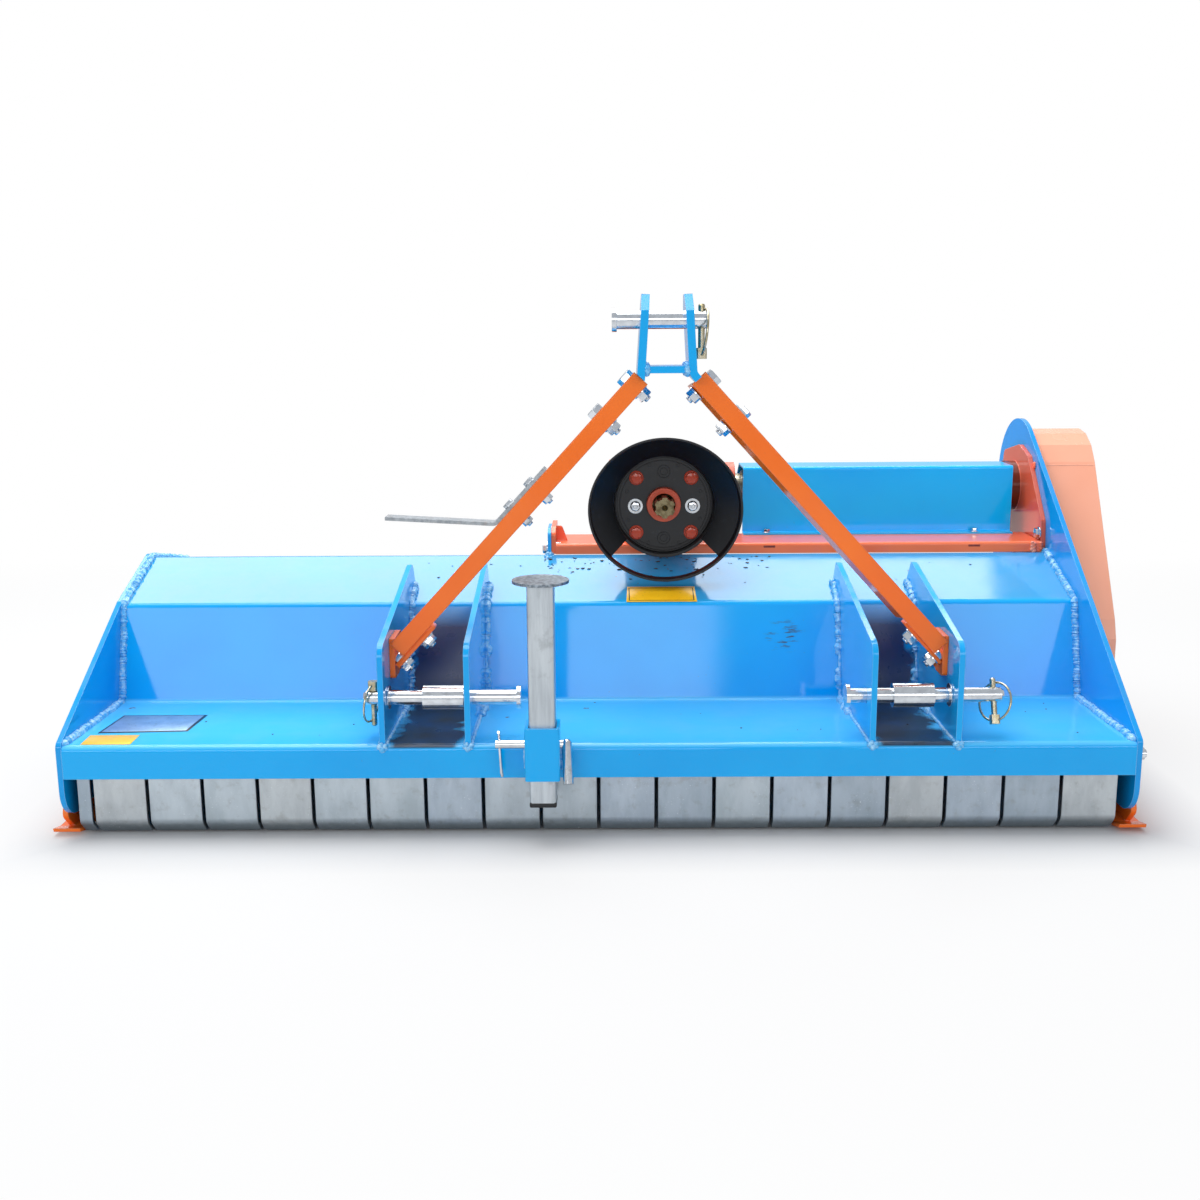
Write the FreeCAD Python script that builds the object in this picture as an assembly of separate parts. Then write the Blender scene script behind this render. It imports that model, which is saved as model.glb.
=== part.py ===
"""Rear-mounted flail mulcher for a three-point hitch, as an assembly of separate pieces.

Millimetres. +X is to the right of someone who stands at the hitch and looks at the machine,
+Y points to its rear and +Z up. Y is counted from the front face of the hood's lip and Z from
the floor while the pieces are drawn; at the end the whole machine is moved so that the origin
is the centre of the bottom of its box.
"""
import FreeCAD, Part
import math
import os

V = FreeCAD.Vector
ALONG_X = V(1, 0, 0)
ALONG_Y = V(0, 1, 0)
ALONG_Z = V(0, 0, 1)

# ---------------------------------------------------------------- driving dimensions
journal_gap = 0.05              # radial clearance of every shaft in its bore

# Body: one folded hood sheet between two side plates
chamber_width = 1564.0          # between the side plates
side_t = 8.0                    # side plate
hood_t = 5.0                    # hood sheet
bend_r = 5.0                    # inside radius of the hood's folds
lip_bottom_z = 93.0
lip_height = 50.0
ledge_depth = 250.0
ledge_fall = 4.0                # the ledge drops a little towards the rear
face_rise = 154.0               # steep front face above the ledge
face_lean = 40.0
slope_run = 157.0               # gentle slope from the face to the ridge
slope_rise = 53.0
top_run = 193.0                 # roof behind the ridge, which falls to the rear
top_fall = 38.0
rear_run = 112.0                # rear panel, down to the curtain
rear_fall = 103.0
rear_flange = 30.0              # upright edge that carries the curtain
side_rim = 6.0                  # the side plates stand this far over the hood
side_bottom_z = 28.0
side_tail = 23.0                # side plate behind the rear panel's foot
side_corner_r = 45.0            # rounded lower front corner
side_rear_cut = 60.0            # bevel at the lower rear corner
shaft_hole_gap = 8.0            # around a shaft, in the side plates

# Rotor
rotor_y, rotor_z = 490.0, 185.0
rotor_tube_r = 57.0
rotor_tube_wall = 10.0
rotor_swing_r = 139.0
rotor_shaft_r = 20.0
rotor_end_gap = 8.0             # rotor tube to side plate
rotor_end_t = 15.0
hammer_count = 18
hammer_turn = 40.0              # degrees from one pair of hammers to the next
hammer_width = 72.0
hammer_foot_t = 14.0
hammer_foot_half = 26.0
hammer_shank = 22.0             # width and, less a little, depth of the shank
hammer_play = 2.0               # shank to lug, on each side
hammer_bolt_r = 8.0
hammer_bolt_play = 0.4
lug_t = 8.0
lug_height = 34.0
lug_foot_half = 24.0
lug_seat = 0.3                  # weld gap between a lug and the tube
bearing_t = 30.0
bearing_flange_half = 62.0
bearing_flange_t = 12.0

# Drive line
shaft_over_top = 94.0           # cross shaft above the ridge
shaft_y = 640.0
pto_x = 111.0                   # input shaft
spline_r = 17.45
spline_root_r = 14.9
spline_tooth = 8.7
spline_length = 78.0
spline_count = 6
spline_stub = 55.0              # tip of the input shaft to the gearbox flange
shaft_r = 20.0                  # cross shaft in its bearings
tube_r = 25.0                   # cross shaft between its couplings
coupling_r = 30.0
coupling_t = 40.0
gearbox_left, gearbox_right = 80.0, 75.0
gearbox_half_depth = 95.0
gearbox_above = 51.0            # case above the shafts
gearbox_corner_r = 30.0
bell_reach = 235.0              # cross shaft to the face of the input flange
bell_r, flange_r, flange_t = 64.0, 75.0, 14.0
nose_r, nose_length = 28.5, 16.0
outlet_r, outlet_end = 46.0, 140.0

# Moulded guard round the input shaft
cone_depth = 83.0
cone_rim_x, cone_rim_z = 127.5, 119.0
cone_base_x, cone_base_z = 86.0, 85.0
cone_wall = 3.0
cone_base_t = 4.0
cone_rim_band = 26.0            # nearly straight band at the rim
cone_base_band = 22.0
cone_window_half = math.radians(48)             # cut-away below, either side of straight down
cone_window_rim, cone_window_base = 20.0, 24.0  # what the cut leaves in front of and behind it

# Beam level with the ridge, under the gearbox and the shaft cover
beam_left = -75.0
beam_setback = 5.0
beam_depth = 114.0
beam_height = 18.0
beam_wall = 6.0
beam_end_t = 8.0
beam_lug_t = 6.0
cover_t = 3.0
cover_over_shaft = 45.0
cover_half = 80.0               # cross shaft to the front of the cover
cover_flange = 18.0
bearing_plate_t = 8.0
hub_r, hub_length = 46.0, 22.0

# Hitch
hitch_x = 105.0                 # centre line of the lower plates and the stays
clevis_x = 100.0
hitch_plate_t = 8.5
pair_half_spread = 356.0        # centre line to the middle of each pair of lower plates
pair_gap = 116.0                # between the two plates of a pair
lower_pin_y, lower_pin_over = 44.0, 60.0    # the pins' height over the ledge's front edge
lower_pin_r = 11.0
lower_pin_length = 232.0
lower_pin_head_r, lower_pin_head_t = 17.0, 6.0
left_pin_past, right_pin_past = 27.5, 68.5  # tip past the outer plate of each pair
sleeve_length = 60.0
sleeve_wall = 6.7
sleeve_play = 0.3
left_sleeve, right_sleeve = -6.0, -28.0     # left end of each sleeve from the middle of its pair
top_pin_y, top_pin_z = 66.0, 746.0
top_pin_r = 12.7
top_pin_left, top_pin_length = -77.0, 136.0
top_pin_head_r, top_pin_head_t = 16.5, 7.0
clevis_gap_top, clevis_gap_pin, clevis_gap_strap = 48.0, 56.0, 60.5
clevis_t = 11.5
clevis_depth = 76.0
clevis_over_pin = 35.0
clevis_chamfer = 22.0
strap_z = 678.0
strap_t = 10.0
arm_w = 26.0                    # stay: angle bar
arm_depth = 30.0
arm_t = 5.0
right_leg_lean = 6.0            # the right stay's rear leg opens out by this much at its back edge
arm_top_half, arm_top_z = 41.0, 665.0
arm_low_half, arm_low_z = 402.0, 270.0
arm_front_y = 62.0
arm_lug_t = 8.0
leg_notch = 72.0                # the stay's rear leg is cut away above the lug
stay_end_gap = 1.0              # stay end to clevis plate
clevis_foot = 104.0             # length bolted to the stay
clevis_bend_r = 8.0
hanger_t, hanger_width = 5.0, 28.0

# Spring pins through the tips of the hitch pins
linch_r = 4.3
linch_play = 0.2
linch_wire_r = 1.7
linch_head = 13.5
linch_length = 54.5             # under the head
linch_ring_r = 28.5
top_linch_size = 1.12           # the top pin has the next larger one
lower_linch_from_tip, top_linch_from_tip = 14.0, 9.5
right_linch_drop, top_linch_drop = 18.5, 26.5   # these hang head down, by this much
left_ring_turn, right_ring_turn, top_ring_turn = -14.0, 36.0, 4.0
right_linch_roll = -22.0        # the right lower pin has turned in its holes

# Front flaps on one rod under the ledge
flap_count = 18                 # full ones, besides a narrow one at the left
flap_left_gap, flap_right_gap = 14.0, 20.0
slim_flap_count, slim_flap_by = 5, 3.4      # the first full ones are cut a little narrower
flap_gap = 5.0
narrow_flap_w = 19.0
flap_t = 5.0
flap_rod_y, flap_rod_over = 24.0, 25.0      # the rod's height over the lip's lower edge
flap_rod_r = 6.0
flap_eye_wall = 6.0
flap_bend_z = 21.0
flap_bend_r = 10.0
flap_tip_run = 18.0             # the lower edge is bent back
flap_tip_z = 3.0
flap_chamfer = 0.8

# Skids and rear roller
skid_foot_w = 40.0
skid_foot_out = 20.0            # foot plate outside the side plate
skid_t = 6.0
skid_web_t = 8.0
skid_length = 440.0
skid_web_high = 74.0
roller_y = 850.0
roller_r = 70.0
roller_wall = 6.0
roller_shaft_r = 15.0
roller_end_t = 8.0
roller_end_gap = 6.0
bracket_t = 10.0
bracket_head = (640.0, 190.0)   # upper front corner of the roller's brackets
curtain_t = 6.0
curtain_low_z = 62.0
curtain_end_gap = 6.0
curtain_strip_t = 5.0
curtain_tuck = 8.0              # top of the curtain under the rear panel's edge

# Parking stand
stand_x = -78.5
socket_size = 50.0
socket_low_over, socket_high_over = 11.0, 39.0      # over the lip's lower edge, over the ledge
leg_size = 38.0
leg_play = 0.8                  # on each side, in the socket
leg_wall = 3.0
leg_low_z = 64.0
leg_high_z = 388.0
leg_plug_t = 8.0
foot_r = 40.0
foot_t = 4.0
stand_pin_r = 6.0
stand_pin_z = 152.0
stand_pin_tail_r = 7.5          # the bent handle is thicker than the pin
stand_pin_tail = (3.0, -25.0, -52.0)     # how far it reaches across, forward and down

# Belt guard outside the tall side plate
guard_width = 100.0
guard_t = 3.0
guard_top_r = 105.0
guard_low_r = 102.0
guard_facets = 9                # round each end
tower_r = 115.0                 # tall side plate round the upper pulley
tower_back, tower_over = 15.0, 8.0          # its centre behind and over the cross shaft

# ---------------------------------------------------------------- places worked out
half = chamber_width / 2
outer = half + side_t
ledge_z = lip_bottom_z + lip_height
ledge_rear = (ledge_depth, ledge_z - ledge_fall)
face_top = (ledge_rear[0] + face_lean, ledge_rear[1] + face_rise)
top_front = (face_top[0] + slope_run, face_top[1] + slope_rise)
top_rear = (top_front[0] + top_run, top_front[1] - top_fall)
rear_low = (top_rear[0] + rear_run, top_rear[1] - rear_fall)
flange_low = (rear_low[0], rear_low[1] - rear_flange)
hood_line = [(0.0, lip_bottom_z), (0.0, ledge_z), ledge_rear, face_top, top_front, top_rear,
             rear_low, flange_low]
top_z = top_front[1]
side_rear_y = rear_low[0] + side_tail
shaft_z = top_z + shaft_over_top
flange_y = shaft_y - bell_reach
pto_tip_y = flange_y - spline_stub
beam_y = top_front[0] + beam_setback
beam_top = top_z + beam_height
lower_pin_z = ledge_z + lower_pin_over
clevis_top_z = top_pin_z + clevis_over_pin
flap_rod_z = lip_bottom_z + flap_rod_over
flap_pitch = (chamber_width - flap_left_gap - flap_right_gap - narrow_flap_w
              + slim_flap_count * slim_flap_by) / flap_count
socket_low_z = lip_bottom_z + socket_low_over
socket_high_z = ledge_z + socket_high_over
socket_wall = (socket_size - leg_size) / 2 - leg_play


# ---------------------------------------------------------------- drawing helpers
def toward(a, b):
    """Unit vector from point a to point b in a plane."""
    length = math.hypot(b[0] - a[0], b[1] - a[1])
    return ((b[0] - a[0]) / length, (b[1] - a[1]) / length)


def corner(before, point, after, radius):
    """Start, middle and end of the arc of a radius that rounds one corner."""
    back, ahead = toward(point, before), toward(point, after)
    half_angle = math.acos(max(-1.0, min(1.0, back[0] * ahead[0] + back[1] * ahead[1]))) / 2
    reach = radius / math.tan(half_angle)
    middle = (back[0] + ahead[0], back[1] + ahead[1])
    size = math.hypot(*middle)
    middle = (middle[0] / size, middle[1] / size)
    depth = radius / math.sin(half_angle) - radius
    return ((point[0] + back[0] * reach, point[1] + back[1] * reach),
            (point[0] + middle[0] * depth, point[1] + middle[1] * depth),
            (point[0] + ahead[0] * reach, point[1] + ahead[1] * reach))


def outline(points, radii, place):
    """Closed face with rounded corners. place turns a pair of numbers into a 3-D point."""
    count = len(points)
    stops = []
    for i, (point, radius) in enumerate(zip(points, radii)):
        if radius > 0:
            stops.append(corner(points[i - 1], point, points[(i + 1) % count], radius))
        else:
            stops.append((point,))
    edges = []
    for i, stop in enumerate(stops):
        if len(stop) == 3:
            edges.append(Part.Arc(*[place(p) for p in stop]).toShape())
        a, b = stop[-1], stops[(i + 1) % count][0]
        if math.hypot(b[0] - a[0], b[1] - a[1]) > 1e-6:
            edges.append(Part.LineSegment(place(a), place(b)).toShape())
    return Part.Face(Part.Wire(edges))


def plate_x(points, radii, low, high):
    """Plate drawn in (y, z), from X low to X high."""
    face = outline(points, radii, lambda p: V(low, p[0], p[1]))
    return face.extrude(V(high - low, 0, 0))


def plate_y(points, radii, low, high):
    """Plate drawn in (x, z), from Y low to Y high."""
    face = outline(points, radii, lambda p: V(p[0], low, p[1]))
    return face.extrude(V(0, high - low, 0))


def plate_z(points, radii, low, high):
    """Plate drawn in (x, y), from Z low to Z high."""
    face = outline(points, radii, lambda p: V(p[0], p[1], low))
    return face.extrude(V(0, 0, high - low))


def square(x, y, reach):
    """Corners of a square round a point."""
    return [(x - reach, y - reach), (x + reach, y - reach), (x + reach, y + reach), (x - reach, y + reach)]


def sheet(points, radius, thickness):
    """Outline of a folded sheet: the outer line, then the inner one back."""
    count = len(points)
    inner = []
    for i, point in enumerate(points):
        ways = []
        if i > 0:
            ways.append(toward(points[i - 1], point))
        if i < count - 1:
            ways.append(toward(point, points[i + 1]))
        normals = [(w[1], -w[0]) for w in ways]
        side = (sum(n[0] for n in normals), sum(n[1] for n in normals))
        size = math.hypot(*side)
        side = (side[0] / size, side[1] / size)
        reach = thickness / (side[0] * normals[0][0] + side[1] * normals[0][1])
        inner.append((point[0] + side[0] * reach, point[1] + side[1] * reach))
    radii_out, radii_in = [0.0], [0.0]
    for i in range(1, count - 1):
        a, b = toward(points[i - 1], points[i]), toward(points[i], points[i + 1])
        turns_in = a[0] * b[1] - a[1] * b[0] < 0
        radii_out.append(radius + thickness if turns_in else radius)
        radii_in.append(radius if turns_in else radius + thickness)
    radii_out.append(0.0)
    radii_in.append(0.0)
    return points + inner[::-1], radii_out + radii_in[::-1]


def block(x0, x1, y0, y1, z0, z1):
    return Part.makeBox(x1 - x0, y1 - y0, z1 - z0, V(x0, y0, z0))


def rod(radius, start, end):
    """Round bar between two points."""
    start, end = V(*start), V(*end)
    return Part.makeCylinder(radius, (end - start).Length, start, end - start)


def rod_x(radius, low, high, y, z):
    """Round bar along X."""
    return rod(radius, (low, y, z), (high, y, z))


def pipe_x(radius, bore, low, high, y, z):
    return rod_x(radius, low, high, y, z).cut(rod_x(bore, low, high, y, z))


def join(first, *others):
    return first.multiFuse(list(others)).removeSplitter()


def mirror_x(shape):
    return shape.mirror(V(0, 0, 0), ALONG_X)


# ---------------------------------------------------------------- body
def hood():
    points, radii = sheet(hood_line, bend_r, hood_t)
    return plate_x(points, radii, -half, half)


def side_plate_left():
    """Low side plate, a rim over the hood all round."""
    front_over = 2.0
    points = [(0.0, side_bottom_z), (0.0, ledge_z + front_over),
              (face_top[0], face_top[1] + side_rim), (top_front[0], top_z + side_rim),
              (top_rear[0] + side_rim, top_rear[1] + side_rim), (side_rear_y, rear_low[1] + side_rim),
              (side_rear_y, side_bottom_z + side_rear_cut), (side_rear_y - side_rear_cut, side_bottom_z)]
    radii = [side_corner_r, 12, 20, 30, 25, 20, 15, 20]
    plate = plate_x(points, radii, -outer, -half)
    return plate.cut(rod_x(rotor_shaft_r + shaft_hole_gap, -outer - 1, -half + 1, rotor_y, rotor_z))


def side_plate_right():
    """Tall side plate: one straight edge from the lip up to the round top behind both pulleys."""
    tower_y, tower_z = shaft_y + tower_back, shaft_z + tower_over
    waist = 60.0
    start = (0.0, ledge_z + 2)
    reach = math.hypot(tower_y - start[0], tower_z - start[1])
    tilt = math.atan2(tower_z - start[1], tower_y - start[0]) + math.asin(tower_r / reach)
    tangent = (tower_y - tower_r * math.sin(tilt), tower_z + tower_r * math.cos(tilt))
    points = [(0.0, side_bottom_z), start, tangent, (tower_y, tower_z), (tower_y + tower_r, tower_z),
              (side_rear_y, tower_z - waist), (side_rear_y, side_bottom_z + side_rear_cut),
              (side_rear_y - side_rear_cut, side_bottom_z)]
    radii = [side_corner_r, 10, 0, 0, 0, 30, 15, 20]
    plate = plate_x(points, radii, half, outer)
    plate = join(plate, rod_x(tower_r, half, outer, tower_y, tower_z))
    for y, z, r in ((rotor_y, rotor_z, rotor_shaft_r + shaft_hole_gap),
                    (shaft_y, shaft_z, shaft_r + shaft_hole_gap),
                    (flap_rod_y, flap_rod_z, flap_rod_r + journal_gap)):
        plate = plate.cut(rod_x(r, half - 1, outer + 1, y, z))
    return plate


def skid(side):
    """Foot plate with a web against the outside of the side plate, turned up in front."""
    nose_y, toe_y = 16.0, 40.0
    rear_slope = 130.0
    web = plate_x([(toe_y + skid_t, skid_t - 1), (nose_y + 4, 30.0), (toe_y + 20, skid_web_high),
                   (skid_length - 10 - rear_slope, skid_web_high), (skid_length - 10, skid_t - 1)],
                  [10, 12, 20, 20, 0], outer, outer + skid_web_t)
    foot_high = outer + skid_foot_out
    foot = plate_x([(nose_y, skid_t), (toe_y, 0.0), (skid_length, 0.0), (skid_length, skid_t),
                    (toe_y + 2, skid_t), (nose_y - 2, 2 * skid_t)],
                   [0, 20, 0, 0, 14, 0], foot_high - skid_foot_w, foot_high)
    whole = join(web, foot)
    return whole if side > 0 else mirror_x(whole)


def support_beam():
    """Shallow channel level with the ridge, under the gearbox and the cross shaft."""
    y0, y1 = beam_y, beam_y + beam_depth
    z0, z1 = top_z, beam_top
    wall = beam_wall
    right = half - bearing_plate_t - 2.0
    beam = plate_x([(y0, z0), (y0, z1), (y1, z1), (y1, z0), (y1 - wall, z0), (y1 - wall, z1 - wall),
                    (y0 + wall, z1 - wall), (y0 + wall, z0)],
                   [0, 5, 5, 0, 0, 1, 1, 0], beam_left, right)
    ear = 28.0
    end = plate_x([(y0 + 4, z0), (y0 + 4, z1 + ear - 10), (y0 + 24, z1 + ear), (y1 - 10, z1 + ear),
                   (y1 - 10, z0)],
                  [0, 8, 8, 8, 0], beam_left - beam_end_t, beam_left)
    gusset = plate_y([(beam_left - 1, z1 - 1), (beam_left - 1, z1 + ear - 2), (beam_left + 10, z1 + ear - 2),
                      (beam_left + 20, z1 - 1)], [0, 0, 5, 0], y0 + 40, y0 + 46)
    return join(beam, end, gusset)


def roof_z(y):
    """Height of the roof behind the ridge."""
    return top_z - top_fall * (y - top_front[0]) / top_run


def beam_lug():
    """Plate on the hood that the left end of the beam is bolted to."""
    y0, y1 = beam_y + 1, beam_y + 75
    high = top_z + beam_height + 26
    face = beam_left - beam_end_t
    return plate_x([(y0, roof_z(y0)), (y0, high - 8), (y0 + 14, high), (y1, high), (y1, roof_z(y1))],
                   [0, 6, 6, 6, 0], face - beam_lug_t, face)


def bearing_plate():
    """Plate on the inside of the tall side plate, with the cross shaft's bearing housing."""
    y0 = top_front[0] + 14
    face = half - bearing_plate_t
    points = [(y0, top_z), (y0 + 6, top_z + 52), (shaft_y - 76, shaft_z + 62), (shaft_y - 20, shaft_z + 78),
              (shaft_y + 70, shaft_z + 60), (shaft_y + 90, shaft_z - 30), (shaft_y + 10, top_z)]
    plate = plate_x(points, [10, 10, 14, 14, 14, 14, 10], face, half)
    hub = rod_x(hub_r, face - hub_length, face, shaft_y, shaft_z)
    bore = rod_x(shaft_r + journal_gap, face - hub_length - 1, half + 1, shaft_y, shaft_z)
    return join(plate, hub).cut(bore)


def shaft_cover():
    """Folded cover over the cross shaft: front, top and a rear slope, open at both ends."""
    left = pto_x + outlet_end + 10
    right = half - bearing_plate_t - hub_length - 4
    y0, y1 = shaft_y - cover_half, shaft_y
    z0, z1 = beam_top + cover_t, shaft_z + cover_over_shaft
    line = [(y0 - cover_flange, z0), (y0, z0), (y0, z1), (y1, z1), (shaft_y + 78, shaft_z - 4),
            (shaft_y + 78, shaft_z - 60)]
    points, radii = sheet(line, 2.0, cover_t)
    return plate_x(points, radii, left, right)


def pulley_outline(top_r, low_r):
    """Faceted outline round both pulleys, as (y, z) points."""
    away = math.atan2(shaft_z - rotor_z, shaft_y - rotor_y)
    tilt = math.asin((top_r - low_r) / math.hypot(shaft_y - rotor_y, shaft_z - rotor_z))
    top_sweep = math.pi + 2 * tilt
    low_sweep = 2 * math.pi - top_sweep
    start = away + top_sweep / 2
    points = []
    for y, z, radius, first, sweep in ((shaft_y, shaft_z, top_r, start, top_sweep),
                                       (rotor_y, rotor_z, low_r, start - top_sweep, low_sweep)):
        for i in range(guard_facets + 1):
            angle = first - sweep * i / guard_facets
            points.append((y + radius * math.cos(angle), z + radius * math.sin(angle)))
    return points


def belt_guard():
    """Faceted pan around both pulleys, open towards the side plate."""
    outside = pulley_outline(guard_top_r, guard_low_r)
    inside = pulley_outline(guard_top_r - guard_t, guard_low_r - guard_t)
    sharp = [0] * len(outside)
    pan = plate_x(outside, sharp, outer, outer + guard_width)
    return pan.cut(plate_x(inside, sharp, outer - 1, outer + guard_width - guard_t))


# ---------------------------------------------------------------- drive line
def gearbox():
    """Case on the beam, bell and flange round the input, outlet to the right, cap at the left."""
    x, y, z = pto_x, shaft_y, shaft_z
    deep = gearbox_half_depth
    case = plate_z([(x - gearbox_left, y - deep), (x - gearbox_left, y + deep),
                    (x + gearbox_right, y + deep), (x + gearbox_right, y - deep)],
                   [gearbox_corner_r] * 4, beam_top, z + gearbox_above)
    bell_end = y - deep + 5
    bell = rod(bell_r, (x, flange_y + flange_t, z), (x, bell_end, z))
    flange = rod(flange_r, (x, flange_y, z), (x, flange_y + flange_t, z))
    outlet = rod_x(outlet_r, x + gearbox_right - 5, x + outlet_end, y, z)
    cap = rod_x(outlet_r + 6, x - gearbox_left - 12, x - gearbox_left + 5, y, z)
    rib = block(x - 5, x + 5, flange_y + flange_t - 2, bell_end, beam_top + 2, z - 40)
    shape = join(case, bell, flange, outlet, cap, rib)
    input_bore = rod(spline_r + 2 + journal_gap, (x, flange_y - 1, z), (x, flange_y + 90, z))
    outlet_bore = rod_x(shaft_r + journal_gap, x + gearbox_right - 15, x + outlet_end + 1, y, z)
    return shape.cut(input_bore).cut(outlet_bore)


def input_seal():
    """Seal carrier on the flange, round the input shaft."""
    x, z = pto_x, shaft_z
    front = flange_y - nose_length
    ring = rod(nose_r, (x, front, z), (x, flange_y, z))
    return ring.cut(rod(spline_r + 2 + journal_gap, (x, front - 1, z), (x, flange_y + 1, z)))


def pto_shaft():
    """Six-spline input shaft."""
    x, z = pto_x, shaft_z
    spline_end = pto_tip_y + spline_length
    root = rod(spline_root_r, (x, pto_tip_y, z), (x, spline_end, z))
    limit = rod(spline_r, (x, pto_tip_y, z), (x, spline_end, z))
    teeth = []
    for i in range(spline_count):
        tooth = block(x - spline_tooth / 2, x + spline_tooth / 2, pto_tip_y, spline_end, z, z + spline_r + 2)
        tooth.rotate(V(x, 0, z), ALONG_Y, 360.0 * i / spline_count)
        teeth.append(tooth.common(limit))
    journal = rod(spline_r + 2, (x, spline_end, z), (x, flange_y + 89, z))
    centre = Part.makeCone(5.0, 0.0, 8.0, V(x, pto_tip_y, z), ALONG_Y)
    return join(root, journal, *teeth).cut(centre)


def pto_guard():
    """Moulded cone: base on the gearbox flange, wide rim, cut away at the bottom."""
    x, z = pto_x, shaft_z
    rim_y = flange_y - cone_depth

    def oval(half_x, half_z, y):
        curve = Part.Ellipse(V(x, y, z), half_x, half_z)
        curve.Axis = V(0, -1, 0)
        curve.XAxis = V(1, 0, 0)
        return Part.Wire([curve.toShape()])

    def cone(wall, base_y, neck_y, rim_end):
        base = oval(cone_base_x - wall, cone_base_z - wall, base_y)
        neck = oval(cone_base_x + 2 - wall, cone_base_z + 1 - wall, neck_y)
        band = oval(cone_rim_x - 1.5 - wall, cone_rim_z - 2 - wall, rim_y + cone_rim_band)
        rim = oval(cone_rim_x - wall, cone_rim_z - wall, rim_end)
        return Part.makeLoft([base, neck, band, rim], True, True)

    neck_y = flange_y - cone_base_band
    shell = cone(0.0, flange_y, neck_y, rim_y)
    shell = shell.cut(cone(cone_wall, flange_y - cone_base_t, neck_y - 2, rim_y - 1))
    reach = 2 * cone_rim_x
    aside, below = reach * math.sin(cone_window_half), reach * math.cos(cone_window_half)
    window = plate_y([(x, z), (x + aside, z - below), (x - aside, z - below)], [0] * 3,
                     rim_y + cone_window_rim, flange_y - cone_window_base)
    return shell.cut(window).cut(rod(nose_r + 1, (x, flange_y - cone_base_t - 2, z), (x, flange_y + 1, z)))


def cross_shaft():
    """Shaft with coupling flanges, from the gearbox to the upper belt pulley."""
    y, z = shaft_y, shaft_z
    tube_left, tube_right = pto_x + outlet_end + 2, half - bearing_plate_t - hub_length - 2
    parts = [rod_x(shaft_r, pto_x + gearbox_right - 9, tube_left, y, z),
             rod_x(tube_r, tube_left, tube_right, y, z),
             rod_x(shaft_r, tube_right, outer + guard_width - 20, y, z),
             rod_x(coupling_r, tube_left + 12, tube_left + 12 + coupling_t, y, z),
             rod_x(coupling_r, tube_right - 8 - coupling_t, tube_right - 8, y, z)]
    return join(*parts)


def rotor():
    """Tube with closed ends and a stub shaft at each end."""
    y, z = rotor_y, rotor_z
    end = half - rotor_end_gap
    parts = [pipe_x(rotor_tube_r, rotor_tube_r - rotor_tube_wall, -end, end, y, z)]
    for side in (-1, 1):
        parts.append(rod(rotor_tube_r, (side * (end - rotor_end_t), y, z), (side * end, y, z)))
    parts.append(rod_x(rotor_shaft_r, -outer - bearing_t - 4, -end + rotor_end_t, y, z))
    parts.append(rod_x(rotor_shaft_r, end - rotor_end_t, outer + guard_width - 20, y, z))
    return join(*parts)


def round_rotor(draw):
    """A piece for each hammer's place, in two staggered rows that wind round the rotor."""
    reach = half - rotor_end_gap - 10 - hammer_width / 2
    pieces = []
    for i in range(hammer_count):
        x = -reach + 2 * reach * i / (hammer_count - 1)
        piece = draw(x)
        piece.rotate(V(0, rotor_y, rotor_z), ALONG_X, 180.0 * (i % 2) + hammer_turn * (i // 2))
        pieces.append(piece)
    return Part.makeCompound(pieces)


def lug_pair(x):
    """Two lugs welded to the tube, with the hammer's bolt between them."""
    y, foot, top = rotor_y, rotor_z + rotor_tube_r - 12, rotor_z + rotor_tube_r + lug_height
    gap = hammer_shank / 2 + hammer_play
    parts = []
    for low in (x - gap - lug_t, x + gap):
        side = [(y - lug_foot_half, foot), (y - 14, top), (y + 14, top), (y + lug_foot_half, foot)]
        parts.append(plate_x(side, [0, 12, 12, 0], low, low + lug_t))
    bolt_z = rotor_z + rotor_tube_r + 20
    bolt_reach = gap + lug_t + 5
    parts.append(rod_x(hammer_bolt_r, x - bolt_reach, x + bolt_reach, y, bolt_z))
    tube = rod_x(rotor_tube_r + lug_seat, x - bolt_reach - 1, x + bolt_reach + 1, rotor_y, rotor_z)
    return join(*parts).cut(tube)


def hammer(x):
    """Hammer thrown out as it stands at working speed: eye, shank and a hollow-ground foot."""
    y, low = rotor_y, rotor_z + rotor_tube_r + 6
    tip = rotor_z + rotor_swing_r
    wide = hammer_foot_half
    shank = block(x - hammer_shank / 2, x + hammer_shank / 2, y - 13, y + 13, low, tip - 16)
    side = [(y - wide, tip - 40), (y - wide + 4, tip - 3), (y + wide - 4, tip - 3), (y + wide, tip - 40),
            (y + wide - hammer_foot_t, tip - 34), (y + 10, tip - 20), (y - 10, tip - 20),
            (y - wide + hammer_foot_t, tip - 34)]
    foot = plate_x(side, [0] * len(side), x - hammer_width / 2, x + hammer_width / 2)
    bore = rod_x(hammer_bolt_r + hammer_bolt_play, x - hammer_shank, x + hammer_shank, y,
                 rotor_z + rotor_tube_r + 20)
    return join(shank, foot).cut(bore)


def bearing_housing(side):
    """Flanged housing outside a side plate; the left one is closed with a cap."""
    y, z = rotor_y, rotor_z
    body = Part.makeCone(58, 44, bearing_t, V(outer, y, z), ALONG_X)
    flange = plate_x(square(y, z, bearing_flange_half), [26] * 4, outer, outer + bearing_flange_t)
    whole = join(body, flange).cut(rod_x(rotor_shaft_r + journal_gap, outer - 1, outer + bearing_t + 1, y, z))
    if side > 0:
        return whole
    cap = rod_x(30, outer + bearing_t, outer + bearing_t + 16, y, z)
    cap = cap.cut(rod_x(rotor_shaft_r + 3, outer + bearing_t - 1, outer + bearing_t + 10, y, z))
    return mirror_x(join(whole, cap))


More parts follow.
